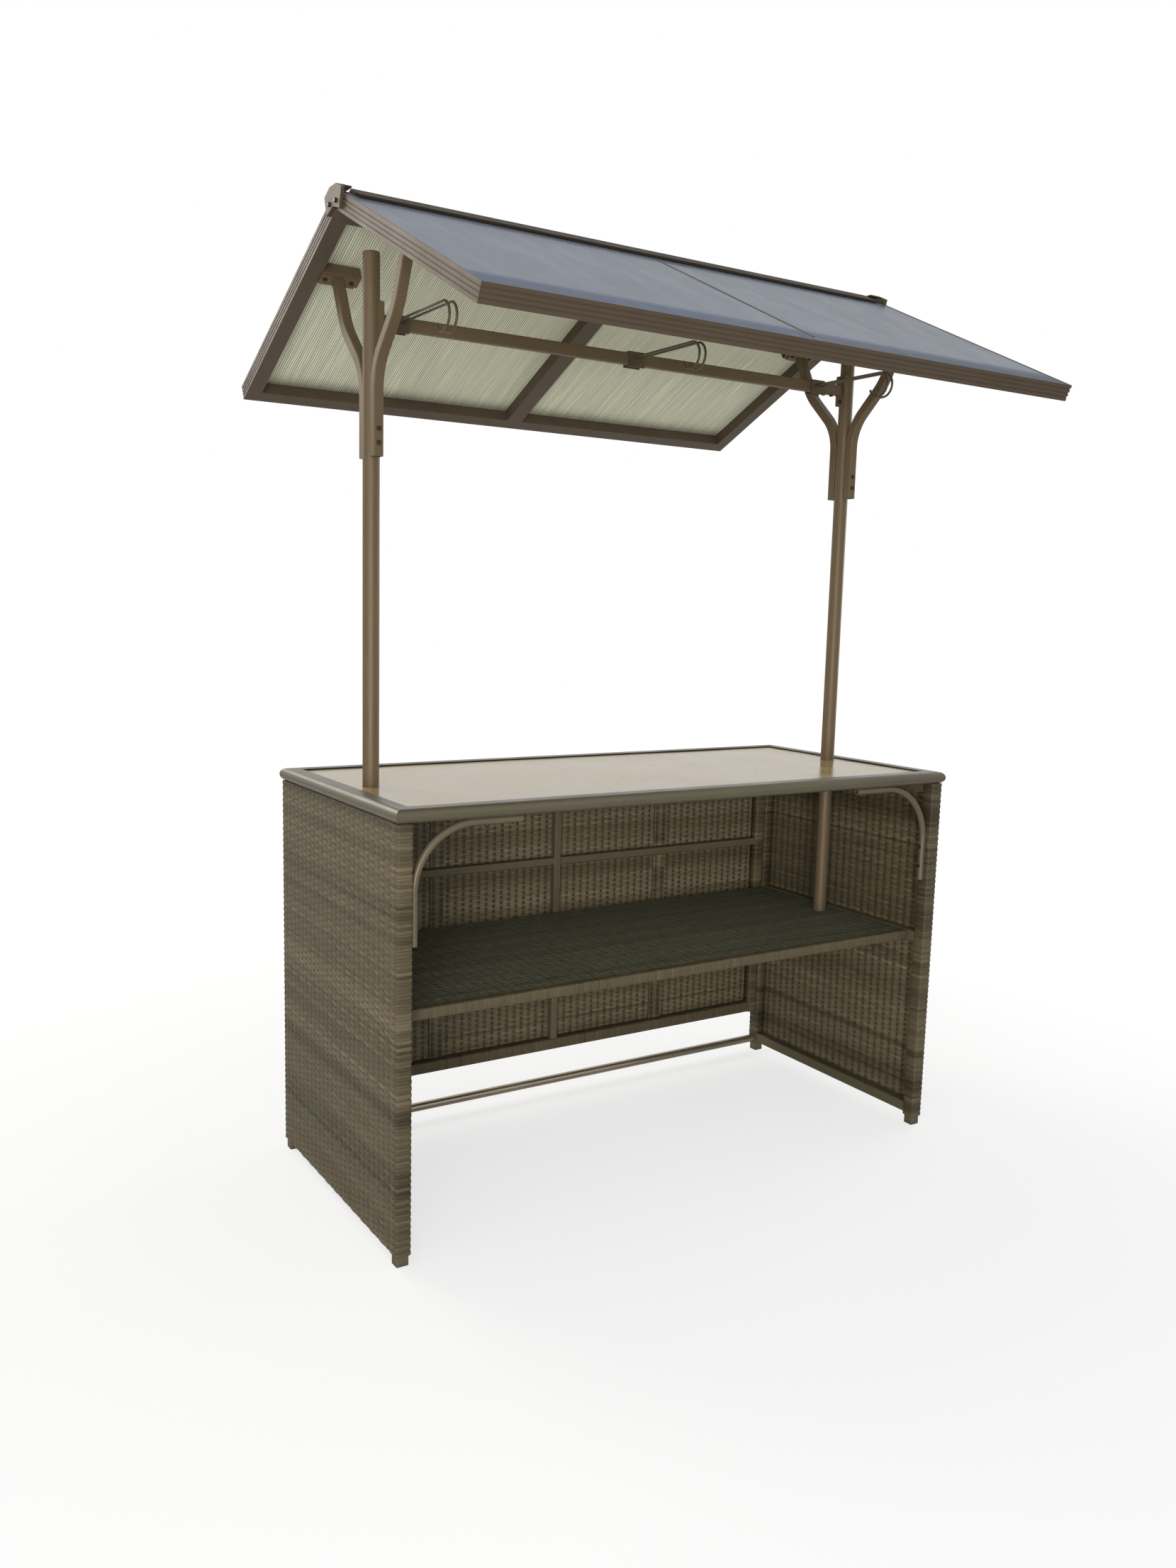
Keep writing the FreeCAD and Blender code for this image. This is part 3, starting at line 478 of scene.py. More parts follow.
for name, solid in nodes.items():
    chosen = [finish for starts, finish in finishes if name.startswith(starts)]
    solid.data.materials.clear()
    solid.data.materials.append(chosen[0] if chosen else paints["frame_paint"])
print("finished", len(nodes), "solids")

# %% [markdown]
# ## Cane
# Ends, back and shelf are woven from flat plastic cane. A strip's colour follows its own tone, from dark
# to weathered, and is streaked along its length. The shelf is a second, greener cane.

# %% Cane finish
CANE_COLOURS = [
    (0.0, (0.032, 0.025, 0.013)), (0.35, (0.087, 0.069, 0.037)),
    (0.65, (0.140, 0.113, 0.066)), (1.0, (0.228, 0.195, 0.130)),
]
SHELF_COLOURS = [(0.0, (0.058, 0.062, 0.040)), (0.5, (0.120, 0.122, 0.082)), (1.0, (0.21, 0.21, 0.146))]
CANE_DUST, CANE_DUST_COLOUR = 0.12, (0.3, 0.27, 0.21, 1.0)


def cane(name, tones, roughness):
    """Drawn plastic cane: colour from the strip's own tone, streaked along its length, dusty on top."""
    material, tree, shader = new_material(name)
    tone = add(tree, "Attribute", attribute_name="tone").outputs["Fac"]
    strip = add(tree, "UVMap", uv_map="strip").outputs["UV"]
    streaks = use_group(tree, melange, {"Tone": tone, "Strip": strip})
    place = add(tree, "TexCoord").outputs["Object"]
    dust_mask = use_group(tree, dust, {"Place": place})["Mask"]
    colour = ramp(tree, streaks["Shade"], tones)
    fill(tree, shader, {
        "Base Color": mix(tree, times(tree, dust_mask, CANE_DUST), colour, CANE_DUST_COLOUR),
        "Roughness": spread(tree, streaks["Height"], 0.3, 0.7, roughness - 0.1, roughness + 0.1),
        "Normal": bump(tree, streaks["Height"], 0.25, 0.0003),
        "Specular IOR Level": 0.25,
    })
    return material


weave_cane = cane("weave_cane", CANE_COLOURS, 0.55)
shelf_cane = cane("shelf_cane", SHELF_COLOURS, 0.6)
print("cane", weave_cane.name, shelf_cane.name)

# %% [markdown]
# ## How the cane runs
# Upright warps stand 25 to 29 mm apart, and the weft runs across them, over one and under the next; the
# row above does the opposite. Each weft also turns round the edge tube, as the real cane does. A bump
# pattern would look flat from the side and would let no light through, so each strip is real geometry:
# a plan seen from above, with a cosine wave along it.

# %% Weave plans
ROW_PITCH = 0.0078
CANE_WIDTH, CANE_THICK = 0.0093, 0.0011
WARP_WIDTH, WARP_THICK = 0.0085, 0.0012
SWING, WARP_SWING = 0.0010, 0.0003
ROW_STEP = 0.0004
STEPS_PER_WARP = 4
TUCK = 0.003


def arc(centre_a, centre_o, radius, start, stop, count=4):
    """Points of a round corner in plan, from one angle to another, in degrees."""
    turn = np.radians(np.linspace(start, stop, count))
    return np.stack([centre_a + radius * np.cos(turn), centre_o + radius * np.sin(turn)], axis=1)


def panel_plan(plane, reach, pitch):
    """Plan (along, out) of one weft across a flat panel, and its wave.

    The wave is cos(pi (along - first warp) / pitch): 1 over one warp and -1 under the next.
    """
    steps = int(round(2 * reach / pitch)) * STEPS_PER_WARP
    along = np.linspace(reach, -reach, steps + 1)
    wave = np.cos(np.pi * (along - reach + pitch / 2) / pitch)
    return np.stack([along, np.full_like(along, plane)], axis=1), wave


def wrapped_plan(tube_a, tube_o, half, radius, plane, reach, pitch):
    """Plan of one weft round the far tube, along the panel and round the near tube; wave 0 on the tubes."""
    inset = half - radius
    far = [arc(tube_a + sa * inset, tube_o + so * inset, radius, start, start + 90)
           for sa, so, start in ((-1, -1, 180), (1, -1, 270), (1, 1, 0))]
    near = [arc(-tube_a + sa * inset, tube_o + so * inset, radius, start, start + 90)
            for sa, so, start in ((-1, 1, 90), (-1, -1, 180), (1, -1, 270))]
    panel, panel_wave = panel_plan(plane, reach, pitch)
    lead_in = np.array([[tube_a - half, plane - TUCK]])
    lead_out = np.array([[half - tube_a, plane - TUCK]])
    plan = np.concatenate([lead_in, *far, panel, *near, lead_out])
    wave = np.zeros(len(plan))
    start = len(lead_in) + sum(map(len, far))
    wave[start:start + len(panel)] = panel_wave
    return plan, wave


def weft_rows(plans, wave, count):
    """Along and out of every row: even and odd rows take two plans in turn, with the wave turned over."""
    odd = np.arange(count) % 2
    plan = np.stack(plans)[odd]
    return plan[..., 0], plan[..., 1] + SWING * (1.0 - 2.0 * odd)[:, None] * wave


def warp_lines(plane, reach, count, levels, first):
    """Along, out and level of evenly spaced warps.

    Out is plane - WARP_SWING cos(pi (level - first) / ROW_PITCH), turned over on every second warp.
    """
    along = reach - 2 * reach / count * (np.arange(count) + 0.5)
    turn = 1.0 - 2.0 * (np.arange(count) % 2)
    out = plane - WARP_SWING * turn[:, None] * np.cos(np.pi * (levels - first) / ROW_PITCH)
    return np.broadcast_to(along[:, None], out.shape), out, np.broadcast_to(levels, out.shape)


# %% [markdown]
# ## How the cane is shaded
# Batches of cane differ, so the colour drifts in bands of several rows and slowly along each row. On top
# of that the tones carry painted shade. Outside, the whole outer face is painted a little darker, and more
# where the cane dips between the warps. Inside, painted shade stands in for cane seen against the light: it
# is darker where two layers lie together, and the warps are painted as dark lines. Round a tube both faces
# get painted shade. Every strip therefore carries one tone for its edges and one for each face. A panel's
# own tone is three numbers: the middle, how much its rows differ, and how much a row changes along its
# length.

# %% Weave tones
# Painted shade: on the outer face, in the dips between warps outside, on the inner face at the warps, and
# on cane round a tube.
OUTER_SHADE, CROSSING_SHADE, INNER_SHADE = 0.08, 0.22, 0.36
TUBE_SHADE, TUBE_STEP = 0.28, 0.05
# the low tone on the inner face of each warp is painted shade, so the warps read as dark lines inside
WARP_TONES = np.array([0.24, 0.38, 0.10])
WARP_SPREAD = 0.06
DRIFT_WAVES = np.array([[1.0], [2.3], [4.1]])
BATCH_ROWS, BATCH_MARGIN = 5, 4
BATCH_SHARE, OWN_SHARE = 1.6, 0.45
SEED = 11


def band_tones(rng, rows, steps, centre, spread_rows, spread_along):
    """Tone of each row and step: slow bands of several rows, each row's own shade, slow change along it."""
    drawn = rng.normal(size=rows + 2 * BATCH_MARGIN)
    slow = np.convolve(drawn, np.ones(BATCH_ROWS) / BATCH_ROWS, "same")[BATCH_MARGIN:-BATCH_MARGIN]
    own = rng.normal(size=rows)
    along = np.linspace(0.0, 1.0, steps)
    phase = rng.uniform(0.0, 2 * np.pi, (rows, len(DRIFT_WAVES), 1))
    drift = np.sin(2 * np.pi * along * DRIFT_WAVES + phase).sum(1) / len(DRIFT_WAVES)
    by_row = BATCH_SHARE * slow + OWN_SHARE * own
    return centre + spread_rows * by_row[:, None] + spread_along * drift


def crossing_shade(wave, rows):
    """Tone lost on the edges, the outer face and the inner face of each weft, as (rows, steps, 3).

    All of it is painted shade. Outside it grows with 1 - wave squared, inside with wave to the fourth.
    Round a tube it is one dark value, a little darker on every second row, which lies deeper.
    """
    # painted shade round a tube, a little more on every second row
    recessed = TUBE_SHADE + TUBE_STEP * (np.arange(rows) % 2)[:, None]
    woven = np.abs(wave) > 0
    # painted shade outside: a little over the whole face, and more between the warps
    outer = np.where(woven, OUTER_SHADE + CROSSING_SHADE * (1.0 - wave ** 2), recessed)
    # painted shade inside, strongest over the warps
    inner = np.where(woven, INNER_SHADE * wave ** 4, recessed)
    return np.stack([(outer + inner) / 2, outer, inner], axis=-1)


def warp_tones(rng, count):
    """Tone of the edges, the outer face and the inner face of each warp."""
    return rng.uniform(-WARP_SPREAD, WARP_SPREAD, (count, 1, 1)) + WARP_TONES


rng = np.random.default_rng(SEED)
print("tones start from seed", SEED)

# %% [markdown]
# ## Woven ends
# Each end is one panel between two legs. The weft wraps both legs, so they look like part of the panel,
# and every second row lies a little proud. The right end is the mirror image, which turns its strips over:
# the face that was outer becomes inner, so the two tones change places.

# %% Woven ends
LEG_X, LEG_Y, LEG_WRAP, LEG_ROUND = 0.8205, 0.3555, 0.0186, 0.005
END_PLANE, END_REACH = 0.8382, 0.3653
END_WARPS = 25
END_LOW, END_HIGH = 0.0300, 1.0145
END_TONE = (0.56, 0.16, 0.08)

end_pitch = 2 * END_REACH / END_WARPS
end_levels = np.arange(END_LOW, END_HIGH, ROW_PITCH)
plans = [wrapped_plan(LEG_Y, LEG_X, LEG_WRAP + step, LEG_ROUND, END_PLANE, END_REACH, end_pitch)
         for step in (ROW_STEP, -ROW_STEP)]
wave = plans[0][1]
along, out = weft_rows([plan for plan, _ in plans], wave, len(end_levels))
level = np.broadcast_to(end_levels[:, None], out.shape)
warp_levels = np.arange(END_LOW - ROW_PITCH / 2, END_HIGH, ROW_PITCH / 2)
warp_along, warp_x, warp_level = warp_lines(END_PLANE, END_REACH, END_WARPS, warp_levels, END_LOW)

for side, sign in (("left", -1.0), ("right", 1.0)):
    faces = [0, 1, 2] if side == "left" else [0, 2, 1]
    shade = crossing_shade(wave, len(out))[..., faces]
    tones = band_tones(rng, *out.shape, *END_TONE)[..., None] - shade
    rows = np.stack([sign * out, along, level], axis=-1)
    weft = cane_strips(f"end_weft_{side}", rows, ACROSS_Z, CANE_WIDTH, CANE_THICK, tones)
    columns = np.stack([sign * warp_x, warp_along, warp_level], axis=-1)
    warp_tone = warp_tones(rng, END_WARPS)[..., faces]
    warp = cane_strips(f"end_warp_{side}", columns, ACROSS_Y, WARP_WIDTH, WARP_THICK, warp_tone)
    for piece in (weft, warp):
        piece.data.materials.append(weave_cane)
        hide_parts(f"end_weave_{side}")

# %% [markdown]
# ## Woven back
# The back is the same weave on a wider frame, a little more open, and its weft turns round the two
# stiles. It is made in a lower and an upper half, which keeps each mesh small.

# %% Woven back
STILE_X, STILE_Y, STILE_WRAP, STILE_ROUND = 0.784, 0.358, 0.0161, 0.0045
BACK_PLANE, BACK_FIELD_X, BACK_REACH = 0.3732, 0.767, 0.7922
BACK_WARPS = 63
BACK_LOW, BACK_FIELD, BACK_HIGH = 0.146, 0.1785, 1.0145
OPEN_WIDTH = 0.0088
WARP_START = 0.004
BACK_TONE = (0.65, 0.13, 0.10)

back_pitch = 2 * BACK_REACH / BACK_WARPS
back_levels = np.arange(BACK_FIELD, BACK_HIGH, ROW_PITCH)
plans = [wrapped_plan(STILE_X, STILE_Y, STILE_WRAP + step, STILE_ROUND, BACK_PLANE, BACK_REACH, back_pitch)
         for step in (ROW_STEP, -ROW_STEP)]
wave = plans[0][1]
along, out = weft_rows([plan for plan, _ in plans], wave, len(back_levels))
tones = band_tones(rng, *out.shape, *BACK_TONE)[..., None] - crossing_shade(wave, len(out))
rows = np.stack([along, out, np.broadcast_to(back_levels[:, None], out.shape)], axis=-1)
half = len(back_levels) // 2
back_pieces = [
    cane_strips("back_weft_low", rows[:half], ACROSS_Z, OPEN_WIDTH, CANE_THICK, tones[:half]),
    cane_strips("back_weft_high", rows[half:], ACROSS_Z, OPEN_WIDTH, CANE_THICK, tones[half:]),
]
warp_levels = np.arange(BACK_FIELD - WARP_START, BACK_HIGH, ROW_PITCH / 2)
columns = np.stack(warp_lines(BACK_PLANE, BACK_REACH, BACK_WARPS, warp_levels, BACK_FIELD), axis=-1)
back_tones = warp_tones(rng, BACK_WARPS)
back_pieces.append(cane_strips("back_warp", columns, ACROSS_X, WARP_WIDTH, WARP_THICK, back_tones))

# %% [markdown]
# ## Wraps of the back frame
# Short loops of cane wind round the bottom tube and round the foot of each stile, below the panel. Each
# loop is a closed strip along a rounded square.

# %% Back wraps
LOW_TUBE_Z = 0.159
LOW_WRAP_TONE, STILE_WRAP_TONE, WRAP_SPREAD = 0.28, 0.40, 0.04


def bar_loops(places, centre_y, centre_z, loop):
    """Closed loops round a bar along X, one at each place, as (loops, points, 3)."""
    loops = np.empty((len(places), len(loop), 3))
    loops[..., 0] = places[:, None]
    loops[..., 1] = centre_y + loop[:, 0]
    loops[..., 2] = centre_z + loop[:, 1]
    return loops


loop = rounded_rectangle(STILE_WRAP, STILE_WRAP, STILE_ROUND)
places = np.arange(-BACK_FIELD_X + ROW_PITCH / 2, BACK_FIELD_X, ROW_PITCH)
loops = bar_loops(places, STILE_Y, LOW_TUBE_Z, loop)
loop_tones = LOW_WRAP_TONE + WRAP_SPREAD * rng.normal(size=(len(places), 1))
back_pieces.append(
    cane_strips("back_low_wrap", loops, ACROSS_X, CANE_WIDTH, CANE_THICK, loop_tones, closed=True))

levels = np.arange(BACK_LOW, BACK_FIELD - ROW_PITCH / 2, ROW_PITCH)
stile_loops = np.empty((2, len(levels), len(loop), 3))
stile_loops[..., 0] = np.array([-STILE_X, STILE_X])[:, None, None] + loop[:, 0]
stile_loops[..., 1] = STILE_Y + loop[:, 1]
stile_loops[..., 2] = levels[:, None]
stile_loops = stile_loops.reshape(-1, len(loop), 3)
stile_tones = STILE_WRAP_TONE + WRAP_SPREAD * rng.normal(size=(len(stile_loops), 1))
back_pieces.append(
    cane_strips("back_stile_wrap", stile_loops, ACROSS_Z, CANE_WIDTH, CANE_THICK, stile_tones, closed=True))
for piece in back_pieces:
    piece.data.materials.append(weave_cane)
    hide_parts("back_weave")

# %% [markdown]
# ## Weave over the bands
# Two flat bands stiffen the back. The weave runs over them on the serving side too, so they only show as
# slightly deeper stripes, given a little painted shade where less light comes through. Each row turns round
# both edges of its band and stops above and below the bare rail, which lies against the bands. The warps
# here are only a darker tone of painted shade, as they lie flat.

# %% Weave over the bands
BAND_X, BAND_HALF, BAND_FACE, BAND_TOP = 0.390, 0.020, 0.3655, 0.993
BARE_LOW, BARE_HIGH = 0.720, 0.742
BAND_GAP, BAND_BACK = 0.0007, 0.3700
# the lower middle tone of the band weave is painted shade
BAND_TONE = (0.56, 0.13, 0.03)
BAND_WARP_SHADE, UNDER_WARP = 0.16, 0.6
BAND_STEPS, BAND_SEED = 15, 17

clear = OPEN_WIDTH / 2
off_rail = (back_levels < BARE_LOW - clear) | (back_levels > BARE_HIGH + clear)
picked = np.flatnonzero(off_rail & (back_levels < BAND_TOP - clear))
flat = np.linspace(BAND_HALF, -BAND_HALF, BAND_STEPS)[1:-1]
plan = np.concatenate([
    [[BAND_HALF + BAND_GAP, BAND_BACK]],
    arc(BAND_HALF, BAND_FACE, BAND_GAP, 360, 270),
    np.stack([flat, np.full_like(flat, BAND_FACE - BAND_GAP)], axis=1),
    arc(-BAND_HALF, BAND_FACE, BAND_GAP, 270, 180),
    [[-BAND_HALF - BAND_GAP, BAND_BACK]],
])
first_warp = BACK_REACH - back_pitch / 2
band_rng = np.random.default_rng(BAND_SEED)
band_rows, band_shades = [], []
for centre in (-BAND_X, BAND_X):
    over = np.empty((len(picked), len(plan), 3))
    over[..., 0] = centre + plan[:, 0]
    over[..., 1] = plan[:, 1]
    over[..., 2] = back_levels[picked][:, None]
    wave = np.cos(np.pi * (centre + plan[:, 0] - first_warp) / back_pitch)
    under = (1.0 - 2.0 * (picked % 2))[:, None] * wave > UNDER_WARP
    # painted shade: dark over the warps, darker still where a warp would show
    shade = INNER_SHADE * wave ** 4 + BAND_WARP_SHADE * under
    band_rows.append(over)
    band_shades.append(band_tones(band_rng, *shade.shape, *BAND_TONE) - shade)
rows, tones = np.concatenate(band_rows), np.concatenate(band_shades)
band_weft = cane_strips("back_band_weft", rows, ACROSS_Z, OPEN_WIDTH, CANE_THICK, tones)
band_weft.data.materials.append(weave_cane)
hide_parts("back_weave")

# %% [markdown]
# ## Woven shelf
# The shelf is the greener cane, laid flat: its rows run along the counter and its warps run from front to
# back, so out is now up. Nothing is wrapped at its ends, which the end panels hide. A front and a back
# half keep each mesh small.

# %% Woven shelf
SHELF_END, SHELF_FRONT, SHELF_BACK = 0.8045, -0.2875, 0.3325
SHELF_PLANE = 0.57475
SHELF_WARPS = 55
SHELF_TONE = (0.50, 0.14, 0.10)

shelf_levels = np.arange(SHELF_FRONT, SHELF_BACK, ROW_PITCH)
plan, wave = panel_plan(SHELF_PLANE, SHELF_END, 2 * SHELF_END / SHELF_WARPS)
along, out = weft_rows([plan, plan], wave, len(shelf_levels))
rows = np.stack([along, np.broadcast_to(shelf_levels[:, None], out.shape), out], axis=-1)
tones = band_tones(rng, *out.shape, *SHELF_TONE)[..., None] - crossing_shade(wave, len(out))
half = len(shelf_levels) // 2
shelf_pieces = [
    cane_strips("shelf_weft_front", rows[:half], ACROSS_Y, CANE_WIDTH, CANE_THICK, tones[:half]),
    cane_strips("shelf_weft_back", rows[half:], ACROSS_Y, CANE_WIDTH, CANE_THICK, tones[half:]),
]
warp_levels = np.arange(SHELF_FRONT, SHELF_BACK, ROW_PITCH / 2)
warp_along, warp_z, warp_level = warp_lines(SHELF_PLANE, SHELF_END, SHELF_WARPS, warp_levels, SHELF_FRONT)
columns = np.stack([warp_along, warp_level, warp_z], axis=-1)
column_tones = warp_tones(rng, SHELF_WARPS)
shelf_pieces.append(cane_strips("shelf_warp", columns, ACROSS_X, WARP_WIDTH, WARP_THICK, column_tones))
for piece in shelf_pieces:
    piece.data.materials.append(shelf_cane)
    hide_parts("shelf_weave")

# %% [markdown]
# ## The shelf's edge
# Loops of the brown cane of ends and back wind round the front tube of the shelf. They make the rounded
# edge that one sees first from the serving side.

# %% Shelf edge
EDGE_Y, EDGE_Z, EDGE_WRAP, EDGE_ROUND = -0.2975, 0.5635, 0.0128, 0.004
EDGE_TONE, EDGE_SPREAD = 0.28, 0.03

places = np.arange(-SHELF_END + ROW_PITCH / 2, SHELF_END, ROW_PITCH)
loops = bar_loops(places, EDGE_Y, EDGE_Z, rounded_rectangle(EDGE_WRAP, EDGE_WRAP, EDGE_ROUND))
edge_tones = EDGE_TONE + EDGE_SPREAD * rng.normal(size=(len(places), 1))
edge_wrap = cane_strips("shelf_edge_wrap", loops, ACROSS_X, CANE_WIDTH, CANE_THICK, edge_tones, closed=True)
edge_wrap.data.materials.append(weave_cane)
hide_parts("shelf_weave")

# %% [markdown]
# ## Sheet finish
# Each pane is a twin-wall sheet: two skins with thin webs between them, less than a finger's width apart,
# running down the slope. The two skins are painted as differently lit copies of one sheet. From below the
# pale sheet is painted as if light came through it, with the webs as painted dark lines against that light
# and painted glints and shade that make some ribs brighter than others. From above it is blue-grey, partly
# a painted sky reflection, with faint webs, stains and smears that are partly painted sun glints. The tone
# of a point says which of the two skins it belongs to, so one material serves both.

# %% Sheet finish
RIB_PITCH = 0.006
WEB_INNER, WEB_OUTER = 0.28, 0.42
STAIN_STRETCH, RIB_STRETCH = (5.0, 1.6, 1.6), (270.0, 4.0, 4.0)
# below: a pale colour painted as light coming through the sheet, and webs painted dark against it
PALE_PAINTED_GLOW, WEB_PAINTED_SHADE = (0.72, 0.73, 0.57, 1.0), (0.10, 0.11, 0.08, 1.0)
# single ribs: painted shade and painted glints
RIB_PAINTED_SHADE, RIB_PAINTED_GLINT, PALE_STAIN = (0.33, 0.35, 0.26, 1.0), (0.95, 0.93, 0.76, 1.0), (0.62, 0.62, 0.50, 1.0)
# above: blue-grey, partly a painted sky reflection
BLUE_AND_SKY_REFLECTION, BLUE_STAIN = (0.172, 0.204, 0.268, 1.0), (0.29, 0.285, 0.28, 1.0)
# faint webs on top, and smears that are partly painted sun glints
BLUE_WEB, SMEAR_AND_GLINT = (0.08, 0.10, 0.14, 1.0), (0.42, 0.40, 0.38, 1.0)

sheet, tree, shader = new_material("roof_sheet")
place = add(tree, "TexCoord").outputs["Object"]
x_place = add(tree, "SeparateXYZ", {"Vector": place}).outputs["X"]
saw = add(tree, "Math", {0: times(tree, x_place, 1.0 / RIB_PITCH)}, operation="FRACT").outputs[0]
off_middle = add(tree, "Math", {0: times(tree, saw, 0.5, "SUBTRACT")}, operation="ABSOLUTE").outputs[0]
web = spread(tree, off_middle, WEB_INNER, WEB_OUTER, 0.0, 1.0)
stretched = add(tree, "Mapping", {"Vector": place, "Scale": STAIN_STRETCH}).outputs[0]
stain = noise(tree, stretched, 3.0, 7.0, 0.65)
drawn = add(tree, "Mapping", {"Vector": place, "Scale": RIB_STRETCH}).outputs[0]
streak = noise(tree, drawn, 1.0, 3.0)

# underside: painted light through the sheet, painted dark webs, painted shade and glints on ribs, then
# stains
under = mix(tree, times(tree, web, 0.9), PALE_PAINTED_GLOW, WEB_PAINTED_SHADE)
under = mix(tree, spread(tree, streak, 0.36, 0.54, 0.3, 0.0), under, RIB_PAINTED_SHADE)
under = mix(tree, spread(tree, streak, 0.56, 0.72, 0.0, 0.5), under, RIB_PAINTED_GLINT)
under = mix(tree, spread(tree, stain, 0.5, 0.8, 0.0, 0.18), under, PALE_STAIN)
# top skin: blue-grey, partly a painted sky reflection, with stains and faint webs
over = mix(tree, spread(tree, stain, 0.45, 0.75, 0.0, 0.12), BLUE_AND_SKY_REFLECTION, BLUE_STAIN)
over = mix(tree, times(tree, web, 0.3), over, BLUE_WEB)
# smears on top, partly painted sun glints
smear_glint_mask = times(tree, spread(tree, streak, 0.5, 0.7, 0.0, 1.0), spread(tree, stain, 0.52, 0.66, 0.0, 0.4))
over = mix(tree, smear_glint_mask, over, SMEAR_AND_GLINT)
upper = add(tree, "Attribute", attribute_name="tone").outputs["Fac"]
fill(tree, shader, {
    "Base Color": mix(tree, upper, under, over),
    "Roughness": spread(tree, stain, 0.4, 0.75, 0.26, 0.34),
    "Specular IOR Level": 0.03,
})
print("sheet material", len(tree.nodes), "nodes")

# %% [markdown]
# ## Roof sheets
# The sheets are real slabs: a profile across the sheet, with a shallow scallop between webs, is carried
# from ridge to eave. The lower skin is scalloped more than the upper one, which reads nearly flat.

# %% Roof sheets
ROOF_PITCH = math.radians(25.3)
RIDGE_Z = 2.405
SHEET_NEAR, SHEET_FAR, SHEET_STEPS = 0.0254, 0.7835, 9
SHEET_IN, SHEET_OUT = 0.0035, 0.8245
SKIN_TOP, SKIN_LOW = -0.0011, -0.0068
SCALLOP, TOP_SHARE = 0.0002, 0.2


def sheet_points(front, side):
    """Ribbed slab: across x the skins are SKIN + SCALLOP |sin(pi x / RIB_PITCH)|, carried down the slope.

    A slope point (v, w) lies at y = v cos p + w sin p and z = ridge - v sin p + w cos p.
    """
    ribs = int((SHEET_OUT - SHEET_IN) / RIB_PITCH)
    x = np.linspace(SHEET_IN, SHEET_OUT, ribs * 4 + 1)
    bulge = SCALLOP * np.abs(np.sin(np.pi * x / RIB_PITCH))
    ring_x = np.concatenate([x, x[::-1]])
    ring_w = np.concatenate([SKIN_TOP + TOP_SHARE * bulge, (SKIN_LOW - bulge)[::-1]])
    v = np.linspace(SHEET_NEAR, SHEET_FAR, SHEET_STEPS)[:, None]
    y = v * math.cos(ROOF_PITCH) + ring_w * math.sin(ROOF_PITCH)
    z = RIDGE_Z - v * math.sin(ROOF_PITCH) + ring_w * math.cos(ROOF_PITCH)
    points = np.stack([np.broadcast_to(side * ring_x, y.shape), front * y, z], axis=-1)
    tones = np.broadcast_to(np.concatenate([np.ones_like(x), np.zeros_like(x)]), y.shape)
    return points, tones, len(x)


def sheet_faces(steps, ring, count):
    """Quads of both skins between neighbouring steps, and end quads that join the two skins."""
    index = np.arange(steps * ring).reshape(steps, ring)
    near, far = index[:-1], index[1:]
    skins = np.stack([near, np.roll(near, -1, 1), np.roll(far, -1, 1), far], axis=-1).reshape(-1, 4)
    left = np.arange(count - 1)
    corners = (left, ring - 1 - left, ring - 2 - left, left + 1)
    ends = [np.stack([row[corner] for corner in corners], axis=-1) for row in (index[0], index[-1][::-1])]
    return np.concatenate([skins, *ends])


def roof_sheet(slope, side):
    """One sheet in place of its pane; a mirrored sheet has its faces turned to look outwards."""
    front = -1.0 if slope == "front" else 1.0
    hand = -1.0 if side == "left" else 1.0
    points, tones, count = sheet_points(front, hand)
    faces = sheet_faces(*points.shape[:2], count)
    if front * hand > 0:
        faces = faces[:, ::-1]
    flat = points.reshape(-1, 3)
    piece = put_mesh(f"{slope}_sheet_{side}", flat, faces, flat[:, :2], tones.reshape(-1))
    piece.data.materials.append(sheet)
    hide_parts(f"{slope}_pane_{side}")


for slope in ("front", "rear"):
    for side in ("left", "right"):
        roof_sheet(slope, side)

# %% [markdown]
# ## The floor
# A pale matt floor takes the shadow. To the camera alone it also glows, more the farther out, so it fades
# into the white backdrop without an edge and throws no extra light on the stand.

# %% Floor
FLOOR_HALF = 14.0
FLOOR_GLOW = 1.08
FADE_FROM, FADE_TO, NEAR_GLOW = 1.2, 4.5, 0.66
WHITE = (1.0, 1.0, 1.0, 1.0)

floor_mesh = bpy.data.meshes.new("floor")
floor_corners = [(x * FLOOR_HALF, y * FLOOR_HALF, 0) for x, y in ((-1, -1), (1, -1), (1, 1), (-1, 1))]
floor_mesh.from_pydata(floor_corners, [], [(0, 1, 2, 3)])
floor = bpy.data.objects.new("floor", floor_mesh)
scene.collection.objects.link(floor)
floor_paint, tree, shader = new_material("floor_paint")
fill(tree, shader, {"Base Color": (0.86, 0.86, 0.86, 1.0), "Roughness": 0.9, "Specular IOR Level": 0.0})
to_camera = add(tree, "LightPath").outputs["Is Camera Ray"]
place = add(tree, "TexCoord").outputs["Object"]
radius = add(tree, "VectorMath", {0: place}, operation="LENGTH").outputs["Value"]
share = times(tree, to_camera, spread(tree, radius, FADE_FROM, FADE_TO, NEAR_GLOW, 1.0))
glow = add(tree, "Emission", {"Color": WHITE, "Strength": FLOOR_GLOW})
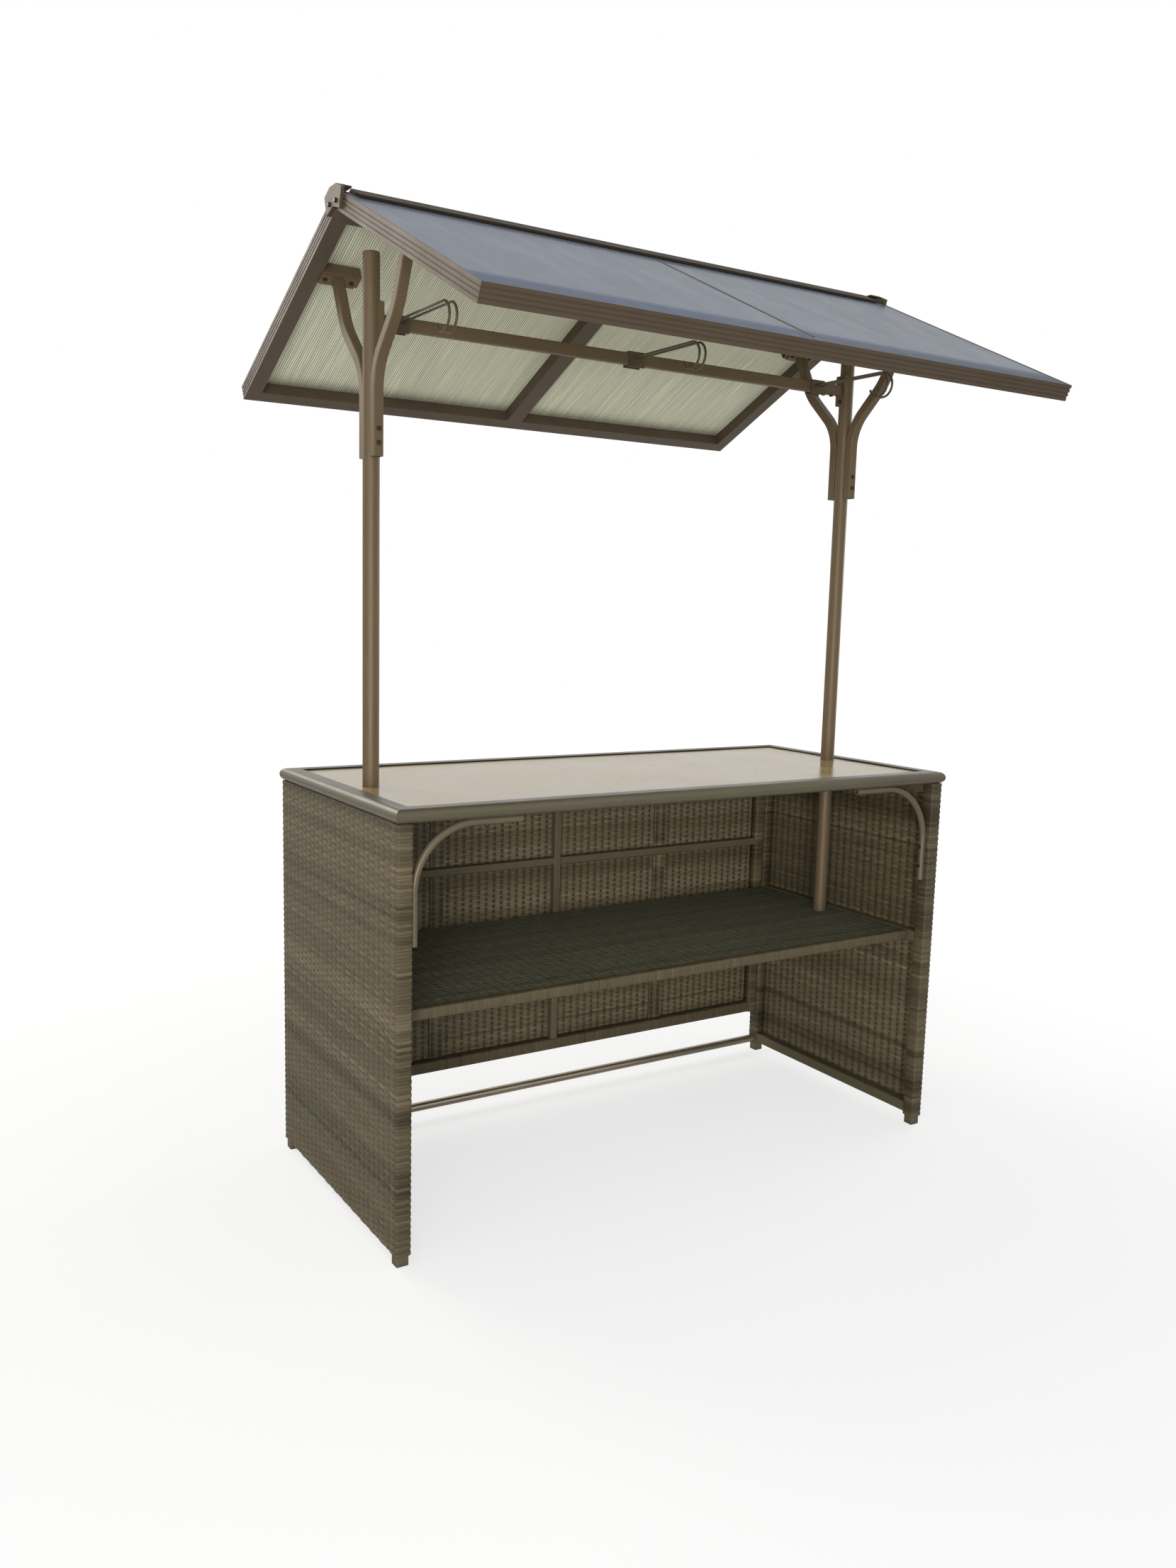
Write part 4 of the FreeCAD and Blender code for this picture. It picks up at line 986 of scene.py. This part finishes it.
blend = add(tree, "MixShader", {0: share, 1: shader.outputs[0], 2: glow.outputs[0]})
tree.links.new(blend.outputs[0], tree.nodes["Material Output"].inputs["Surface"])
floor_mesh.materials.append(floor_paint)
print("floor", 2 * FLOOR_HALF, "m wide")

# %% [markdown]
# ## Backdrop
# The world looks white to the camera and in reflections, and only gives a gentle fill to everything else.

# %% Backdrop
WORLD_FILL = 0.44

world = bpy.data.worlds.new("studio")
scene.world = world
world.use_nodes = True
tree = world.node_tree
back = tree.nodes["Background"]
back.inputs["Color"].default_value = WHITE
path = add(tree, "LightPath").outputs
seen = times(tree, path["Is Camera Ray"], path["Is Glossy Ray"], "MAXIMUM")
seen = times(tree, seen, path["Is Transmission Ray"], "MAXIMUM")
tree.links.new(spread(tree, seen, 0.0, 1.0, WORLD_FILL, 1.0), back.inputs["Strength"])
scene.view_settings.view_transform = "Standard"
print("world fill", WORLD_FILL)

# %% [markdown]
# ## Lamps
# Four broad soft lamps: a warm key from the left, a fill that lights the open side and leaves the roof
# alone, a warm rim from behind and one from the right. Each is a place, a target, a size and a power.


# %% Lamps
def lamp(name, place, target, size, power, colour=(1.0, 1.0, 1.0), beam=180.0):
    """Square area lamp aimed at a point; a beam under 180 degrees keeps its light near that point."""
    data = bpy.data.lights.new(name, "AREA")
    data.energy, data.size, data.color = power, size, colour
    data.spread = math.radians(beam)
    made = bpy.data.objects.new(name, data)
    scene.collection.objects.link(made)
    made.location = place
    made.rotation_euler = (Vector(target) - Vector(place)).to_track_quat("-Z", "Y").to_euler()


lamp("key", (-4.4, -2.4, 3.4), (0.0, 0.0, 1.0), size=3.6, power=42.0, colour=(1.0, 0.97, 0.92))
lamp("fill", (-3.0, -4.6, 0.9), (0.25, 0.0, 0.65), size=2.6, power=37.0, beam=60.0)
lamp("rim", (-2.0, 4.5, 4.2), (0.0, 0.0, 1.6), size=3.0, power=130.0, colour=(1.0, 0.95, 0.87))
lamp("side", (5.4, 0.6, 2.2), (0.0, 0.0, 0.9), size=3.0, power=95.0)
